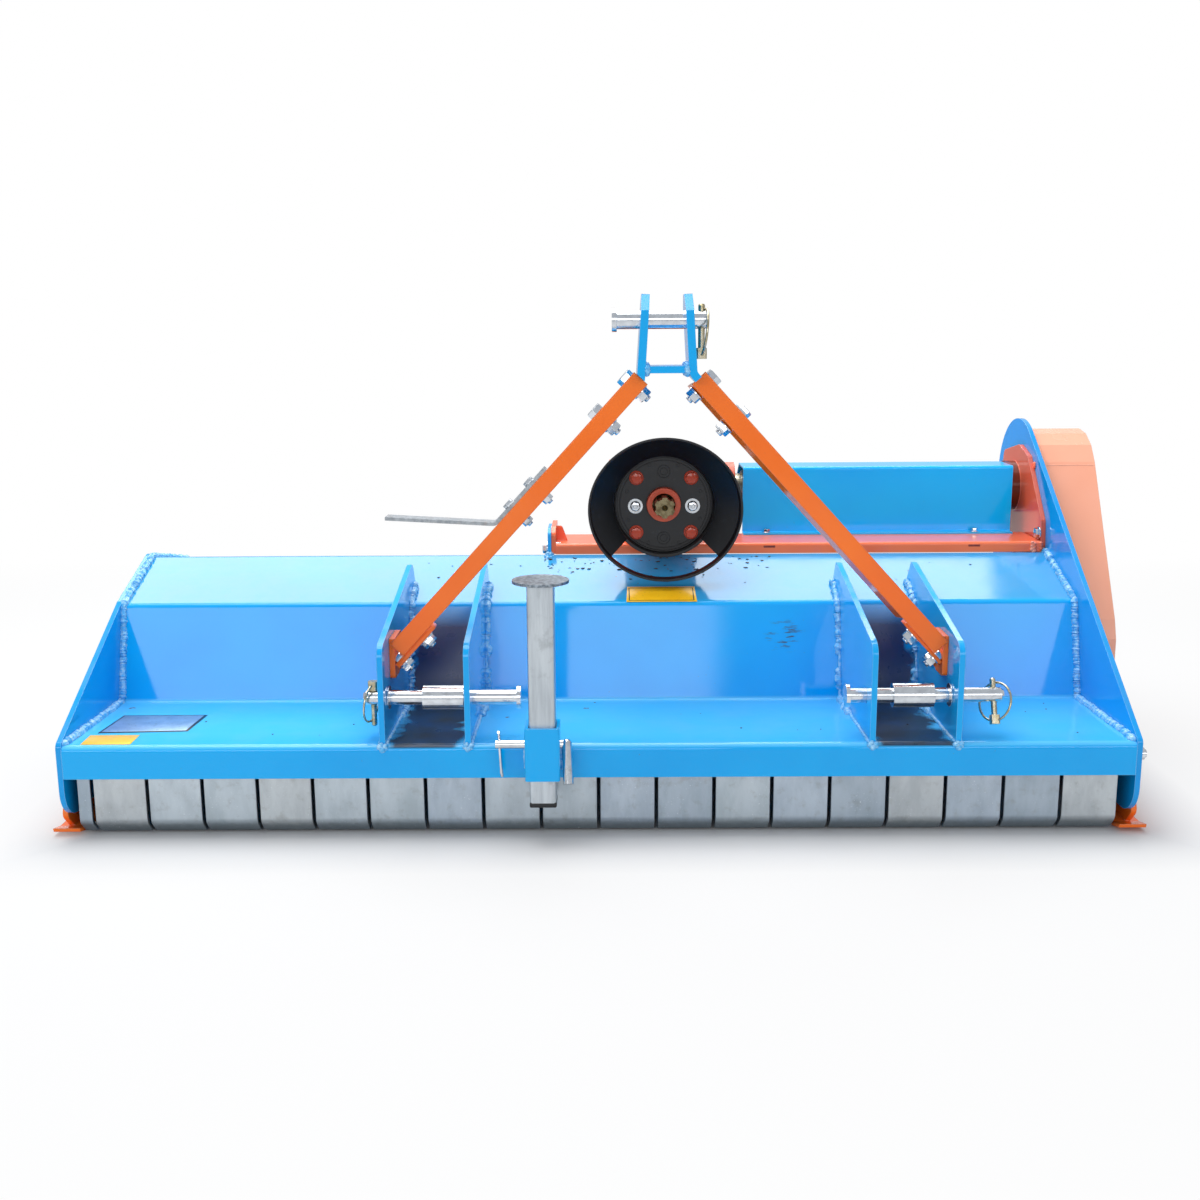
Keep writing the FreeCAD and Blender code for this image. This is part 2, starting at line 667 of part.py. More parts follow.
# ---------------------------------------------------------------- hitch
def hood_solid(low, high):
    """Everything under the hood's outer surface, between two X planes."""
    points = hood_line + [(rear_low[0], 0.0), (0.0, 0.0)]
    radii = [0.0] * len(points)
    for i, radius in ((1, bend_r + hood_t), (2, bend_r), (3, bend_r + hood_t), (4, bend_r + hood_t)):
        radii[i] = radius
    return plate_x(points, radii, low, high)


def hitch_plate(low):
    """One lower plate: upright front edge, sloping top edge, foot along the hood."""
    front_y = 2.0
    front_top = ledge_z + 145
    high = low + hitch_plate_t
    points = [(front_y, ledge_z), (front_y, front_top), (face_top[0] + 43, face_top[1] + 59),
              (face_top[0] + 70, face_top[1] + 25), (face_top[0] + 2, face_top[1]), ledge_rear]
    plate = plate_x(points, [0, 22, 12, 0, 0, 0], low, high)
    plate = plate.cut(hood_solid(low - 1, high + 1))
    return plate.cut(rod_x(lower_pin_r + 0.5, low - 1, high + 1, lower_pin_y, lower_pin_z))


def pair_middle(side):
    return hitch_x + side * pair_half_spread


def hitch_plates(side):
    low = hitch_plate(pair_middle(side) - pair_gap / 2 - hitch_plate_t)
    high = hitch_plate(pair_middle(side) + pair_gap / 2)
    return Part.makeCompound([low, high])


def headed_pin(radius, start, end, y, z, head_r, head_t, hole_x, hole_r, roll=0.0):
    """Round pin along X with a flange head at its start, a chamfered tip and a cross hole."""
    way = 1 if end > start else -1
    tip_t = 4.0
    pin = rod_x(radius, start, end - way * tip_t, y, z)
    tip = Part.makeCone(radius, radius - 3, tip_t, V(end - way * tip_t, y, z), V(way, 0, 0))
    head = rod_x(head_r, start, start + way * head_t, y, z)
    hole = rod(hole_r, (hole_x, y, z - 2 * radius), (hole_x, y, z + 2 * radius))
    hole.rotate(V(hole_x, y, z), ALONG_X, roll)
    return join(pin, tip, head).cut(hole)


def lower_pin_tip(side):
    """X of the tip. The left pin points left and the right one right."""
    past = left_pin_past if side < 0 else right_pin_past
    return pair_middle(side) + side * (pair_gap / 2 + hitch_plate_t + past)


def lower_pin(side):
    tip = lower_pin_tip(side)
    return headed_pin(lower_pin_r, tip - side * lower_pin_length, tip, lower_pin_y, lower_pin_z,
                      lower_pin_head_r, lower_pin_head_t, tip - side * lower_linch_from_tip,
                      linch_r + linch_play, right_linch_roll if side > 0 else 0.0)


def pin_sleeves():
    """A loose spacer on each lower pin."""
    sleeves = []
    bore = lower_pin_r + sleeve_play
    for side, place in ((-1, left_sleeve), (1, right_sleeve)):
        low = pair_middle(side) + place
        sleeves.append(pipe_x(bore + sleeve_wall, bore, low, low + sleeve_length, lower_pin_y, lower_pin_z))
    return Part.makeCompound(sleeves)


top_pin_tip = clevis_x + top_pin_left + top_pin_length
top_linch_x = top_pin_tip - top_linch_from_tip


def top_pin():
    return headed_pin(top_pin_r, clevis_x + top_pin_left, top_pin_tip, top_pin_y, top_pin_z, top_pin_head_r,
                      top_pin_head_t, top_linch_x, linch_r * top_linch_size + linch_play)


def linch_pin(size, head_over, turn, head_way, roll, outward, place):
    """Spring pin across a hitch pin, its ring snapped round the hitch pin's tip.

    It is drawn upright with its head's underside at the origin. head_over is the height of that
    underside over the hitch pin's centre line, turn swings the ring about the bar, head_way is
    1 with the head on top and -1 with the head below, roll turns it all about the hitch pin,
    and outward is the way along X to the hitch pin's tip, where the ring's free side lies.
    """
    r, wire, ring_r = linch_r * size, linch_wire_r * size, linch_ring_r * size
    head_t, length = linch_head * size, linch_length * size
    bar = rod(r, (0, 0, -length + 2), (0, 0, head_t - 1))
    tip = Part.makeCone(r, r - 1.5, 2, V(0, 0, -length + 2), V(0, 0, -1))
    head = plate_z(square(0, 0, head_t / 2), [3] * 4, 0.0, head_t)
    hinge_z = 0.64 * head_t
    lean = math.degrees(math.atan2(r + wire + 0.3, 2 * ring_r))
    ring = Part.makeTorus(ring_r, wire, V(0, 0, -ring_r), ALONG_X)
    ring.rotate(V(0, 0, 0), ALONG_Y, -outward * head_way * lean)
    ring.translate(V(0, 0, hinge_z))
    ring.rotate(V(0, 0, 0), ALONG_Z, head_way * turn)
    whole = join(bar, tip, head, ring)
    whole.translate(V(0, 0, head_over))
    if head_way < 0:
        whole.rotate(V(0, 0, 0), ALONG_Y, 180)
    whole.rotate(V(0, 0, 0), ALONG_X, roll)
    whole.translate(V(*place))
    return whole


def linch_pins():
    seat = lower_pin_r + 0.4
    left_x = lower_pin_tip(-1) + lower_linch_from_tip
    right_x = lower_pin_tip(1) - lower_linch_from_tip
    left = linch_pin(1.0, seat, left_ring_turn, 1, 0.0, -1, (left_x, lower_pin_y, lower_pin_z))
    right = linch_pin(1.0, seat + right_linch_drop, right_ring_turn, -1, right_linch_roll, 1,
                      (right_x, lower_pin_y, lower_pin_z))
    top = linch_pin(top_linch_size, top_pin_r + top_linch_drop, top_ring_turn, -1, 0.0, 1,
                    (top_linch_x, top_pin_y, top_pin_z))
    return Part.makeCompound([left, right, top])


def stay_line(side):
    """Ends of a stay's centre line in (x, z), its direction and the way across it, outward."""
    low = (hitch_x + side * arm_low_half, arm_low_z)
    top = (hitch_x + side * arm_top_half, arm_top_z)
    way = toward(low, top)
    return low, top, way, (side * way[1], -side * way[0])


def along(point, way, distance, across=(0.0, 0.0), offset=0.0):
    return (point[0] + way[0] * distance + across[0] * offset,
            point[1] + way[1] * distance + across[1] * offset)


def strip(a, b, across, low, high):
    """Corners of a strip that follows the line from a to b."""
    return [along(a, across, low), along(b, across, low), along(b, across, high), along(a, across, high)]


def top_clevis():
    """Two plates that splay a little, a strap between them, and feet bent along the stays."""
    y0, y1 = top_pin_y - clevis_depth / 2, top_pin_y + clevis_depth / 2
    splay = (clevis_gap_strap - clevis_gap_top) / 2 / (clevis_top_z - strap_z)
    pieces = []
    for side in (-1, 1):
        low, top, way, across = stay_line(side)
        seat = along(top, way, 0.0, across, -arm_w / 2 + arm_t)
        seat = (side * (seat[0] - clevis_x), seat[1])
        slant = (side * way[0], way[1])
        # the plate's inner face and the foot's inner face meet at the knee
        run = ((clevis_gap_top / 2 + splay * (clevis_top_z - seat[1]) - seat[0])
               / (slant[0] + splay * slant[1]))
        knee = along(seat, slant, run)
        foot = along(seat, slant, -clevis_foot)
        points, radii = sheet([foot, knee, (clevis_gap_top / 2, clevis_top_z)], clevis_bend_r, clevis_t)
        points = [(clevis_x + side * p[0], p[1]) for p in points]
        piece = plate_y(points, radii, y0, y1)
        end = along(top, way, stay_end_gap)
        below = strip(along(low, way, -50.0), end, across, -100.0, 100.0)
        piece = piece.cut(plate_y(below, [0] * 4, y0 - 1, arm_front_y + arm_t))
        piece = piece.cut(plate_y(below, [0] * 4, arm_front_y + arm_depth, y1 + 1))
        pieces.append(piece)
    strap_half = clevis_gap_strap / 2 + 4
    strap = block(clevis_x - strap_half, clevis_x + strap_half, y0 + 2, y1 - 14,
                  strap_z - strap_t / 2, strap_z + strap_t / 2)
    whole = join(*pieces, strap)
    reach = clevis_gap_strap
    for y, way in ((y0, 1), (y1, -1)):
        corner_cut = [(y, clevis_top_z + 2), (y, clevis_top_z - clevis_chamfer),
                      (y + way * clevis_chamfer, clevis_top_z), (y + way * clevis_chamfer, clevis_top_z + 2)]
        whole = whole.cut(plate_x(corner_cut, [0] * 4, clevis_x - reach, clevis_x + reach))
    return whole.cut(rod_x(top_pin_r + journal_gap, clevis_x - reach, clevis_x + reach, top_pin_y, top_pin_z))


def stay(side):
    """Angle-bar stay, with the lug that is bolted inside the outer lower plate."""
    low, top, way, across = stay_line(side)
    h = arm_w / 2
    front = plate_y(strip(low, top, across, -h, h), [0] * 4, arm_front_y, arm_front_y + arm_t)
    notch = along(low, way, leg_notch)
    back, lean = arm_front_y + arm_depth, right_leg_lean if side > 0 else 0.0
    ends = [(-h, arm_front_y), (-h + arm_t, arm_front_y), (-h + arm_t - lean, back), (-h - lean, back),
            (-h, arm_front_y)]
    section = [V(notch[0] + across[0] * c, y, notch[1] + across[1] * c) for c, y in ends]
    leg = Part.Face(Part.makePolygon(section)).extrude(V(top[0] - notch[0], 0, top[1] - notch[1]))
    face = pair_middle(side) + side * pair_gap / 2
    inner_face = face - side * arm_lug_t
    y0 = arm_front_y + arm_t
    foot, brow = arm_low_z - 45, arm_low_z + 16
    lug = plate_x([(y0, foot), (y0, brow), (y0 + 70, brow), (y0 + 70, foot + 20), (y0 + 40, foot)],
                  [6, 0, 10, 14, 14], min(face, inner_face), max(face, inner_face))
    return join(front, leg, lug)


def shaft_hanger():
    """Flat bar that holds the drive shaft off the ground when the machine is parked."""
    low, top, way, across = stay_line(-1)
    seat = arm_w / 2 + hanger_t
    upper = along(low, way, 347.0, across, seat)
    knee = along(low, way, 240.0, across, seat)
    line = [(knee[0] - 159, knee[1] + 9), knee, upper]
    points, radii = sheet(line, 6.0, hanger_t)
    return plate_y(points, radii, arm_front_y + 2, arm_front_y + 2 + hanger_width)


# ---------------------------------------------------------------- flaps
def flap(low, width):
    """Hanging flap: rolled eye on the rod, flat plate, lower edge bent back."""
    eye_r = flap_rod_r + flap_eye_wall
    front = flap_rod_y - eye_r
    high = low + width
    line = [(front + flap_tip_run, flap_tip_z), (front, flap_bend_z), (front, flap_rod_z)]
    points, radii = sheet(line, flap_bend_r, flap_t)
    plate = plate_x(points, radii, low, high)
    edges = [e for e in plate.Edges if abs(e.BoundBox.XLength) < 1e-6 and e.BoundBox.YMin < front + 1e-3]
    plate = plate.makeChamfer(flap_chamfer, edges)
    eye = rod_x(eye_r, low, high, flap_rod_y, flap_rod_z)
    bore = rod_x(flap_rod_r + journal_gap, low - 1, high + 1, flap_rod_y, flap_rod_z)
    return join(plate, eye).cut(bore)


def flap_places():
    """Left edge and width of every flap, the narrow one first."""
    low = -half + flap_left_gap
    places = [(low, narrow_flap_w)]
    low += narrow_flap_w + flap_gap
    for i in range(flap_count):
        pitch = flap_pitch - (slim_flap_by if i < slim_flap_count else 0.0)
        places.append((low, pitch - flap_gap))
        low += pitch
    return places


def flap_rod():
    """Rod from side plate to side plate, with a washer and a nut outside the right one."""
    y, z = flap_rod_y, flap_rod_z
    bar = rod_x(flap_rod_r, -half, outer + 14, y, z)
    washer = rod_x(flap_rod_r + 5, outer, outer + 2.5, y, z)
    nut = rod_x(flap_rod_r + 3, outer + 2.5, outer + 11, y, z)
    return join(bar, washer, nut)


# ---------------------------------------------------------------- rear
def roller():
    """Closed tube on stub shafts."""
    y, z = roller_y, roller_r
    end = half - bracket_t - roller_end_gap
    parts = [pipe_x(roller_r, roller_r - roller_wall, -end, end, y, z)]
    for side in (-1, 1):
        places = ((roller_r - 1, end - 12 - roller_end_t, end - 12), (roller_shaft_r, end - 30, half - 1))
        for radius, inside, outside in places:
            parts.append(rod(radius, (side * inside, y, z), (side * outside, y, z)))
    return join(*parts)


def roller_bracket(side):
    eye = 34.0
    y, z = roller_y, roller_r
    points = [(bracket_head[0], z), bracket_head, (bracket_head[0] + 50, bracket_head[1]),
              (y + eye, z + eye), (y + eye, z - eye), (y - eye, z - eye)]
    plate = plate_x(points, [15, 15, 25, 33, 33, 30], half - bracket_t, half)
    plate = plate.cut(rod_x(roller_shaft_r + journal_gap, half - bracket_t - 1, half + 1, y, z))
    return plate if side > 0 else mirror_x(plate)


def rear_curtain():
    """Rubber sheet that hangs from the hood's rear edge."""
    reach = half - bracket_t - curtain_end_gap
    y = flange_low[0]
    return block(-reach, reach, y, y + curtain_t, curtain_low_z, rear_low[1] - curtain_tuck)


def curtain_strip():
    """Steel strip that clamps the curtain."""
    reach = half - bracket_t - curtain_end_gap
    y = flange_low[0] + curtain_t
    return block(-reach, reach, y, y + curtain_strip_t, flange_low[1], rear_low[1] - curtain_tuck)


# ---------------------------------------------------------------- parking stand
leg_y = -socket_size / 2        # the socket is welded to the front of the lip


def stand_socket():
    reach = socket_size / 2
    z0, z1 = socket_low_z, socket_high_z
    tube = plate_z(square(stand_x, leg_y, reach), [4] * 4, z0, z1)
    inside = plate_z(square(stand_x, leg_y, reach - socket_wall), [2] * 4, z0 - 1, z1 + 1)
    hole = rod_x(stand_pin_r + journal_gap, stand_x - socket_size, stand_x + socket_size, leg_y, stand_pin_z)
    return tube.cut(inside).cut(hole)


def stand_leg():
    """Square tube stored upside down in the socket, with its round foot on top."""
    reach = leg_size / 2
    z0, z1 = leg_low_z, leg_high_z
    tube = plate_z(square(stand_x, leg_y, reach), [4] * 4, z0, z1)
    bore = plate_z(square(stand_x, leg_y, reach - leg_wall), [1.5] * 4, z0 + leg_plug_t, z1 + 1)
    foot = rod(foot_r, (stand_x, leg_y, z1), (stand_x, leg_y, z1 + foot_t))
    hole = rod_x(stand_pin_r + 1, stand_x - leg_size, stand_x + leg_size, leg_y, stand_pin_z)
    return join(tube.cut(bore), foot).cut(hole)


def stand_pin():
    """L-shaped pin through socket and leg; only its two outer stretches are drawn."""
    y, z = leg_y, stand_pin_z
    seat = socket_size / 2 - socket_wall
    left = rod_x(stand_pin_r, stand_x - 68, stand_x - seat, y, z)
    right = rod_x(stand_pin_r, stand_x + seat, stand_x + 34, y, z)
    turn = (stand_x + 34, y, z)
    knee = Part.makeSphere(stand_pin_tail_r, V(*turn))
    tail = rod(stand_pin_tail_r, turn, tuple(a + b for a, b in zip(turn, stand_pin_tail)))
    return Part.makeCompound([left, join(right, knee, tail)])


# ---------------------------------------------------------------- assembly
def build():
    nodes = {
        "hood": hood(),
        "side_plate_left": side_plate_left(),
        "side_plate_right": side_plate_right(),
        "skid_left": skid(-1),
        "skid_right": skid(1),
        "support_beam": support_beam(),
        "beam_lug": beam_lug(),
        "bearing_plate": bearing_plate(),
        "shaft_cover": shaft_cover(),
        "belt_guard": belt_guard(),
        "gearbox": gearbox(),
        "input_seal": input_seal(),
        "pto_shaft": pto_shaft(),
        "pto_guard": pto_guard(),
        "cross_shaft": cross_shaft(),
        "rotor": rotor(),
        "hammer_lugs": round_rotor(lug_pair),
        "hammers": round_rotor(hammer),
        "rotor_bearings": Part.makeCompound([bearing_housing(-1), bearing_housing(1)]),
        "hitch_plates_left": hitch_plates(-1),
        "hitch_plates_right": hitch_plates(1),
        "lower_pin_left": lower_pin(-1),
        "lower_pin_right": lower_pin(1),
        "pin_sleeves": pin_sleeves(),
        "top_clevis": top_clevis(),
        "top_pin": top_pin(),
        "linch_pins": linch_pins(),
        "stay_left": stay(-1),
        "stay_right": stay(1),
        "shaft_hanger": shaft_hanger(),
        "flap_rod": flap_rod(),
        "roller": roller(),
        "roller_bracket_left": roller_bracket(-1),
        "roller_bracket_right": roller_bracket(1),
        "rear_curtain": rear_curtain(),
        "curtain_strip": curtain_strip(),
        "stand_socket": stand_socket(),
        "stand_leg": stand_leg(),
        "stand_pin": stand_pin(),
    }
    for i, (low, width) in enumerate(flap_places()):
        nodes["flap_%02d" % i] = flap(low, width)
    return nodes


def main():
    os.makedirs("parts", exist_ok=True)
    nodes = build()
    box = FreeCAD.BoundBox()
    for shape in nodes.values():
        box.add(shape.optimalBoundingBox())
    shift = V(-box.Center.x, -box.Center.y, -box.ZMin)
    print("box %.3f x %.3f x %.3f" % (box.XLength, box.YLength, box.ZLength))
    print("shift %.4f %.4f %.4f" % tuple(shift))
    for name, shape in nodes.items():
        shape.translate(shift)
        if not shape.isValid():
            print("not valid:", name)
        shape.exportStep("parts/%s.step" % name)
    print(len(nodes), "pieces")


main()
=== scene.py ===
# %% [markdown]
# A tractor mulcher: a folded steel hood over a spinning rotor, driven through a
# gearbox and belts, and carried on the tractor's three-point hitch. The bodywork
# is imported as a fixed frame, so this script gives it its paint, zinc and
# plastic, and adds the small things that a fitter and a welder would add.
# The frame's own box is kept here, to be compared with the finished model's.

# %% Load the frame
import math
import random

import bmesh
import bpy
from mathutils import Matrix, Vector, noise


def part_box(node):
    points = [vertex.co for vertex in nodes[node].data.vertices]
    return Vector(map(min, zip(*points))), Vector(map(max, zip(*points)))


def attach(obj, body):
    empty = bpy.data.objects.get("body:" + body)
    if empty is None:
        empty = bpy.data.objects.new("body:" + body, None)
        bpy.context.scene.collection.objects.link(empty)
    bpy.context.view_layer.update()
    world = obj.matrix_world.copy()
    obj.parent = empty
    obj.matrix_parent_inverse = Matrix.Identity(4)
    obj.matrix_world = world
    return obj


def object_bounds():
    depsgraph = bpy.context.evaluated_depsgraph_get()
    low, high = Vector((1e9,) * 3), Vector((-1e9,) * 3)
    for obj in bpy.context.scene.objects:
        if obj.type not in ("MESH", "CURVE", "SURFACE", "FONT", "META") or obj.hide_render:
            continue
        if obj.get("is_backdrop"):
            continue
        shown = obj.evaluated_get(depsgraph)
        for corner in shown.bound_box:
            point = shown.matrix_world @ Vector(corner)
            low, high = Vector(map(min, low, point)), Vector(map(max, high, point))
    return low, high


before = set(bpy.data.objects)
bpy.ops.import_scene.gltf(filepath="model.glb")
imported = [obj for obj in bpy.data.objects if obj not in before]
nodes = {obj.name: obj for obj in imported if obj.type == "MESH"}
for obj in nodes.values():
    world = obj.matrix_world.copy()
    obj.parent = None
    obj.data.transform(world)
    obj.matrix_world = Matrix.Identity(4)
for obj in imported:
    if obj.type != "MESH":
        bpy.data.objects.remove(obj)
cad_low, cad_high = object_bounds()
print("frame box", [round(v, 4) for v in (*cad_low, *cad_high)])

# %% [markdown]
# Drawings of sheet metal are in millimetres, and Blender's unit is the metre.
# One datum serves the whole machine: the middle of the hood's front edge, with
# heights above the floor. spot() turns a place on that drawing into a place in
# the scene, so every added bolt follows the hood if the frame changes.

# %% The datum
MM = 0.001
hood_low, hood_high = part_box("hood")
MIDDLE = (hood_low.x + hood_high.x) / 2
FRONT = hood_low.y


def spot(x, y, z):
    """A place in millimetres: across from the middle, back from the front edge, up from the floor."""
    return Vector((MIDDLE + x * MM, FRONT + y * MM, z * MM))


print("hood is", round((hood_high.x - hood_low.x) / MM), "mm wide")

# %% [markdown]
# The camera stands in front of the machine at chest height and looks down a
# little, so the top of the hood shows as a bright band. A 40 mm lens from about
# two metres gives a mild perspective: the far edges of the ledge run in towards
# the middle, and the outer ends lean very slightly.

# %% Camera
LENS, EYE_ACROSS, EYE_HEIGHT, EYE_AWAY = 40.5, 15.5, 744.4, 1811.3


def put(name, data):
    """Puts new data into the scene as an object of that name."""
    made = bpy.data.objects.new(name, data)
    bpy.context.scene.collection.objects.link(made)
    return made


cam_data = bpy.data.cameras.new("camera")
cam_data.lens = LENS
cam = put("camera", cam_data)
cam_place = spot(EYE_ACROSS, 0, EYE_HEIGHT)
cam_place.y = cad_low.y - EYE_AWAY * MM
look_down, look_left, lean = math.radians(11.66), math.radians(0.34), math.radians(-0.36)
cam.matrix_world = (Matrix.Translation(cam_place) @ Matrix.Rotation(look_left, 4, "Z")
                    @ Matrix.Rotation(math.pi / 2 - look_down, 4, "X") @ Matrix.Rotation(lean, 4, "Z"))
bpy.context.scene.camera = cam
print("camera at", [round(v, 3) for v in cam_place])

# %% [markdown]
# Colours are written as a paint shop writes them, in sRGB hex, while shaders
# want linear light, so one function translates. Another small function adds any
# shader node with its settings, its socket values and its links, which keeps
# each material short enough to read in one go.

# %% Colours and nodes
def colour(code):
    """sRGB hex to linear RGBA."""
    part = [int(code[i:i + 2], 16) / 255 for i in (0, 2, 4)]
    return [c / 12.92 if c <= 0.04045 else ((c + 0.055) / 1.055) ** 2.4 for c in part] + [1.0]


def add(tree, kind, sockets=None, out=0, **settings):
    """Adds one node and returns its output. A socket takes a number, a colour or another node's output."""
    made = tree.nodes.new("ShaderNode" + kind)
    for name, value in settings.items():
        setattr(made, name, value)
    for name, value in (sockets or {}).items():
        if isinstance(value, bpy.types.NodeSocket):
            tree.links.new(value, made.inputs[name])
        else:
            made.inputs[name].default_value = value
    return made.outputs[out] if made.outputs else made


print("mid grey is", round(colour("808080")[0], 3), "in linear light")

# %% [markdown]
# The air around is plain white, as in a studio, but only rays from the camera see
# it so. Paint is lit by a dimmer sky and the soft boxes below, and mirror rays
# see a light grey, which keeps the gloss from washing the blue out.

# %% Sky
SKY_LEVEL, MIRROR_LEVEL = 0.58, 0.62
world = bpy.data.worlds.new("studio")
bpy.context.scene.world = world
world.use_nodes = True
tree = world.node_tree
tree.nodes.clear()
camera_ray = add(tree, "LightPath", out="Is Camera Ray")
glossy_ray = add(tree, "LightPath", out="Is Glossy Ray")
glass_ray = add(tree, "LightPath", out="Is Transmission Ray")
seen = add(tree, "Math", {0: camera_ray, 1: glass_ray}, operation="MAXIMUM")
level = add(tree, "MapRange", {"Value": glossy_ray, "To Min": SKY_LEVEL, "To Max": MIRROR_LEVEL})
dim = add(tree, "Background", {"Color": colour("F4F8FF"), "Strength": level})
bright = add(tree, "Background", {"Color": colour("FFFFFF"), "Strength": 1.0})
add(tree, "OutputWorld", {"Surface": add(tree, "MixShader", {0: seen, 1: dim, 2: bright})})
print("sky level", SKY_LEVEL, "and in mirrors", MIRROR_LEVEL)

# %% [markdown]
# The floor is matt white. Far out it also glows white for the camera, so that
# floor and sky meet without a line. The glow fades to nothing close to the
# machine, and there is none under it: the shadow stays, and the slits between
# the flaps stay dark.

# %% Floor
FLOOR_RADIUS, HALF_WIDE, HALF_DEEP = 9.0, 0.80, 0.44
floor_paint = bpy.data.materials.new("matt_white_floor_paint")
floor_paint.use_nodes = True
tree = floor_paint.node_tree
tree.nodes.clear()
place = add(tree, "TexCoord", out="Object")
reach = -1.0
for axis, half in (("X", HALF_WIDE), ("Y", HALF_DEEP)):
    off = add(tree, "Math", {0: add(tree, "SeparateXYZ", {0: place}, out=axis)}, operation="ABSOLUTE")
    off = add(tree, "Math", {0: off, 1: half}, operation="SUBTRACT")
    reach = add(tree, "Math", {0: reach, 1: off}, operation="MAXIMUM")
near = add(tree, "MapRange", {"Value": reach, "From Min": -0.02, "From Max": 0.12, "To Max": 0.75})
far = add(tree, "MapRange", {"Value": reach, "From Min": 0.25, "From Max": 1.5, "To Max": 0.25})
share = add(tree, "Math", {0: near, 1: far}, operation="ADD")
share = add(tree, "Math", {0: share, 1: add(tree, "LightPath", out="Is Camera Ray")}, operation="MULTIPLY")
matt = add(tree, "BsdfDiffuse", {"Color": colour("D6D6D6")})
glow = add(tree, "Emission", {"Color": colour("FFFFFF"), "Strength": 1.0})
add(tree, "OutputMaterial", {"Surface": add(tree, "MixShader", {0: share, 1: matt, 2: glow})})

bm = bmesh.new()
bmesh.ops.create_circle(bm, cap_ends=True, segments=96, radius=FLOOR_RADIUS)
bmesh.ops.translate(bm, vec=(0, 0, -0.5 * MM), verts=bm.verts[:])
floor_mesh = bpy.data.meshes.new("floor")
bm.to_mesh(floor_mesh)
bm.free()
floor_mesh.materials.append(floor_paint)
put("floor", floor_mesh)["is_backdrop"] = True
print("floor radius", FLOOR_RADIUS, "m")

# %% [markdown]
# Gloss paint shows what it reflects. A long box of light hangs behind and above
# the machine, where the sloping top of the hood mirrors it towards the camera:
# that gives the pale band along the top and leaves the saturated blue where the
# guard and the gearbox stand in the way. The box stops short of the right end,
# which mirrors the plain wall there. The upright face mirrors two boxes in front,
# which put a pale sheen on it, with a deeper blue where the gap between them
# shows. A wide box overhead lights the ledge.

# %% Soft boxes
def soft_box(name, place, target, width, depth, level):
    """A lamp the size of a studio box; level is its brightness, where 1 is white."""
    data = bpy.data.lights.new(name, "AREA")
    data.shape = "RECTANGLE"
    data.size, data.size_y = width, depth
    data.energy = level * width * depth * math.pi
    lamp = put(name, data)
    lamp.location = place
    lamp.rotation_mode = "QUATERNION"
    lamp.rotation_quaternion = (Vector(target) - Vector(place)).to_track_quat("-Z", "Y")
    lamp.visible_camera = False


soft_box("back_box", spot(-240, 1900, 2050), spot(-40, 350, 300), 3.2, 0.7, 4.8)
soft_box("roof_box", spot(-350, 650, 3000), spot(0, 300, 250), 2.8, 2.0, 4.5)
soft_box("front_box_left", spot(-1000, -4000, 1500), spot(-200, 200, 200), 3.2, 1.1, 3.35)
soft_box("front_box_right", spot(1900, -4000, 1500), spot(500, 200, 200), 1.5, 1.1, 3.1)
bpy.context.scene.view_settings.view_transform = "Standard"

# %% [markdown]
# Every material starts the same way, from the machine's own coordinates and one
# main shader, and most of the patterns on worn metal are the same: soft blotches
# of a real size, cut out of noise between two levels. A few pieces have marks of
# their own on top, and for them reopen() finds those nodes again.

# %% Start of a material
MUL = {"operation": "MULTIPLY"}
MIX = {"data_type": "RGBA", "out": 2}


def surface(name):
    """A new material: its node tree, its object coordinates and its main shader, linked to the output."""
    material = bpy.data.materials.new(name)
    material.use_nodes = True
    tree = material.node_tree
    tree.nodes.clear()
    place = add(tree, "TexCoord", out="Object")
    shader = tree.nodes.new("ShaderNodeBsdfPrincipled")
    add(tree, "OutputMaterial", {"Surface": shader.outputs[0]})
    return material, tree, place, shader


def per_size(size_mm):
    """The scale of a pattern whose marks are that many millimetres across."""
    return 1 / (size_mm * MM)


def blotches(tree, place, size_mm, low, high, detail=3.0, rough=0.55):
    """A mask of 0 to 1 in soft marks of that size, cut between two levels of the noise."""
    grain = add(tree, "TexNoise", {"Vector": place, "Scale": per_size(size_mm), "Detail": detail,
                                   "Roughness": rough})
    return add(tree, "MapRange", {"Value": grain, "From Min": low, "From Max": high},
               interpolation_type="SMOOTHSTEP")


def finish_skin(tree, shader, place, grain_mm, strength, deep_mm, edge_mm):
    """A grain over softly rounded edges, on the shader's normal."""
    grain = add(tree, "TexNoise", {"Vector": place, "Scale": per_size(grain_mm), "Detail": 3.0})
    corner = add(tree, "Bevel", {"Radius": edge_mm * MM}, samples=4)
    skin = add(tree, "Bump", {"Height": grain, "Strength": strength, "Distance": deep_mm * MM,
                              "Normal": corner})
    tree.links.new(skin, shader.inputs["Normal"])


def reopen(material):
    """A finished material's tree, shader and object coordinates, and what feeds its base colour."""
    tree = material.node_tree
    shader = next(n for n in tree.nodes if n.type == "BSDF_PRINCIPLED")
    place = next(n for n in tree.nodes if n.type == "TEX_COORD").outputs["Object"]
    return tree, shader, place, shader.inputs["Base Color"].links[0].from_socket


print("a 3 mm mark has scale", round(per_size(3)))
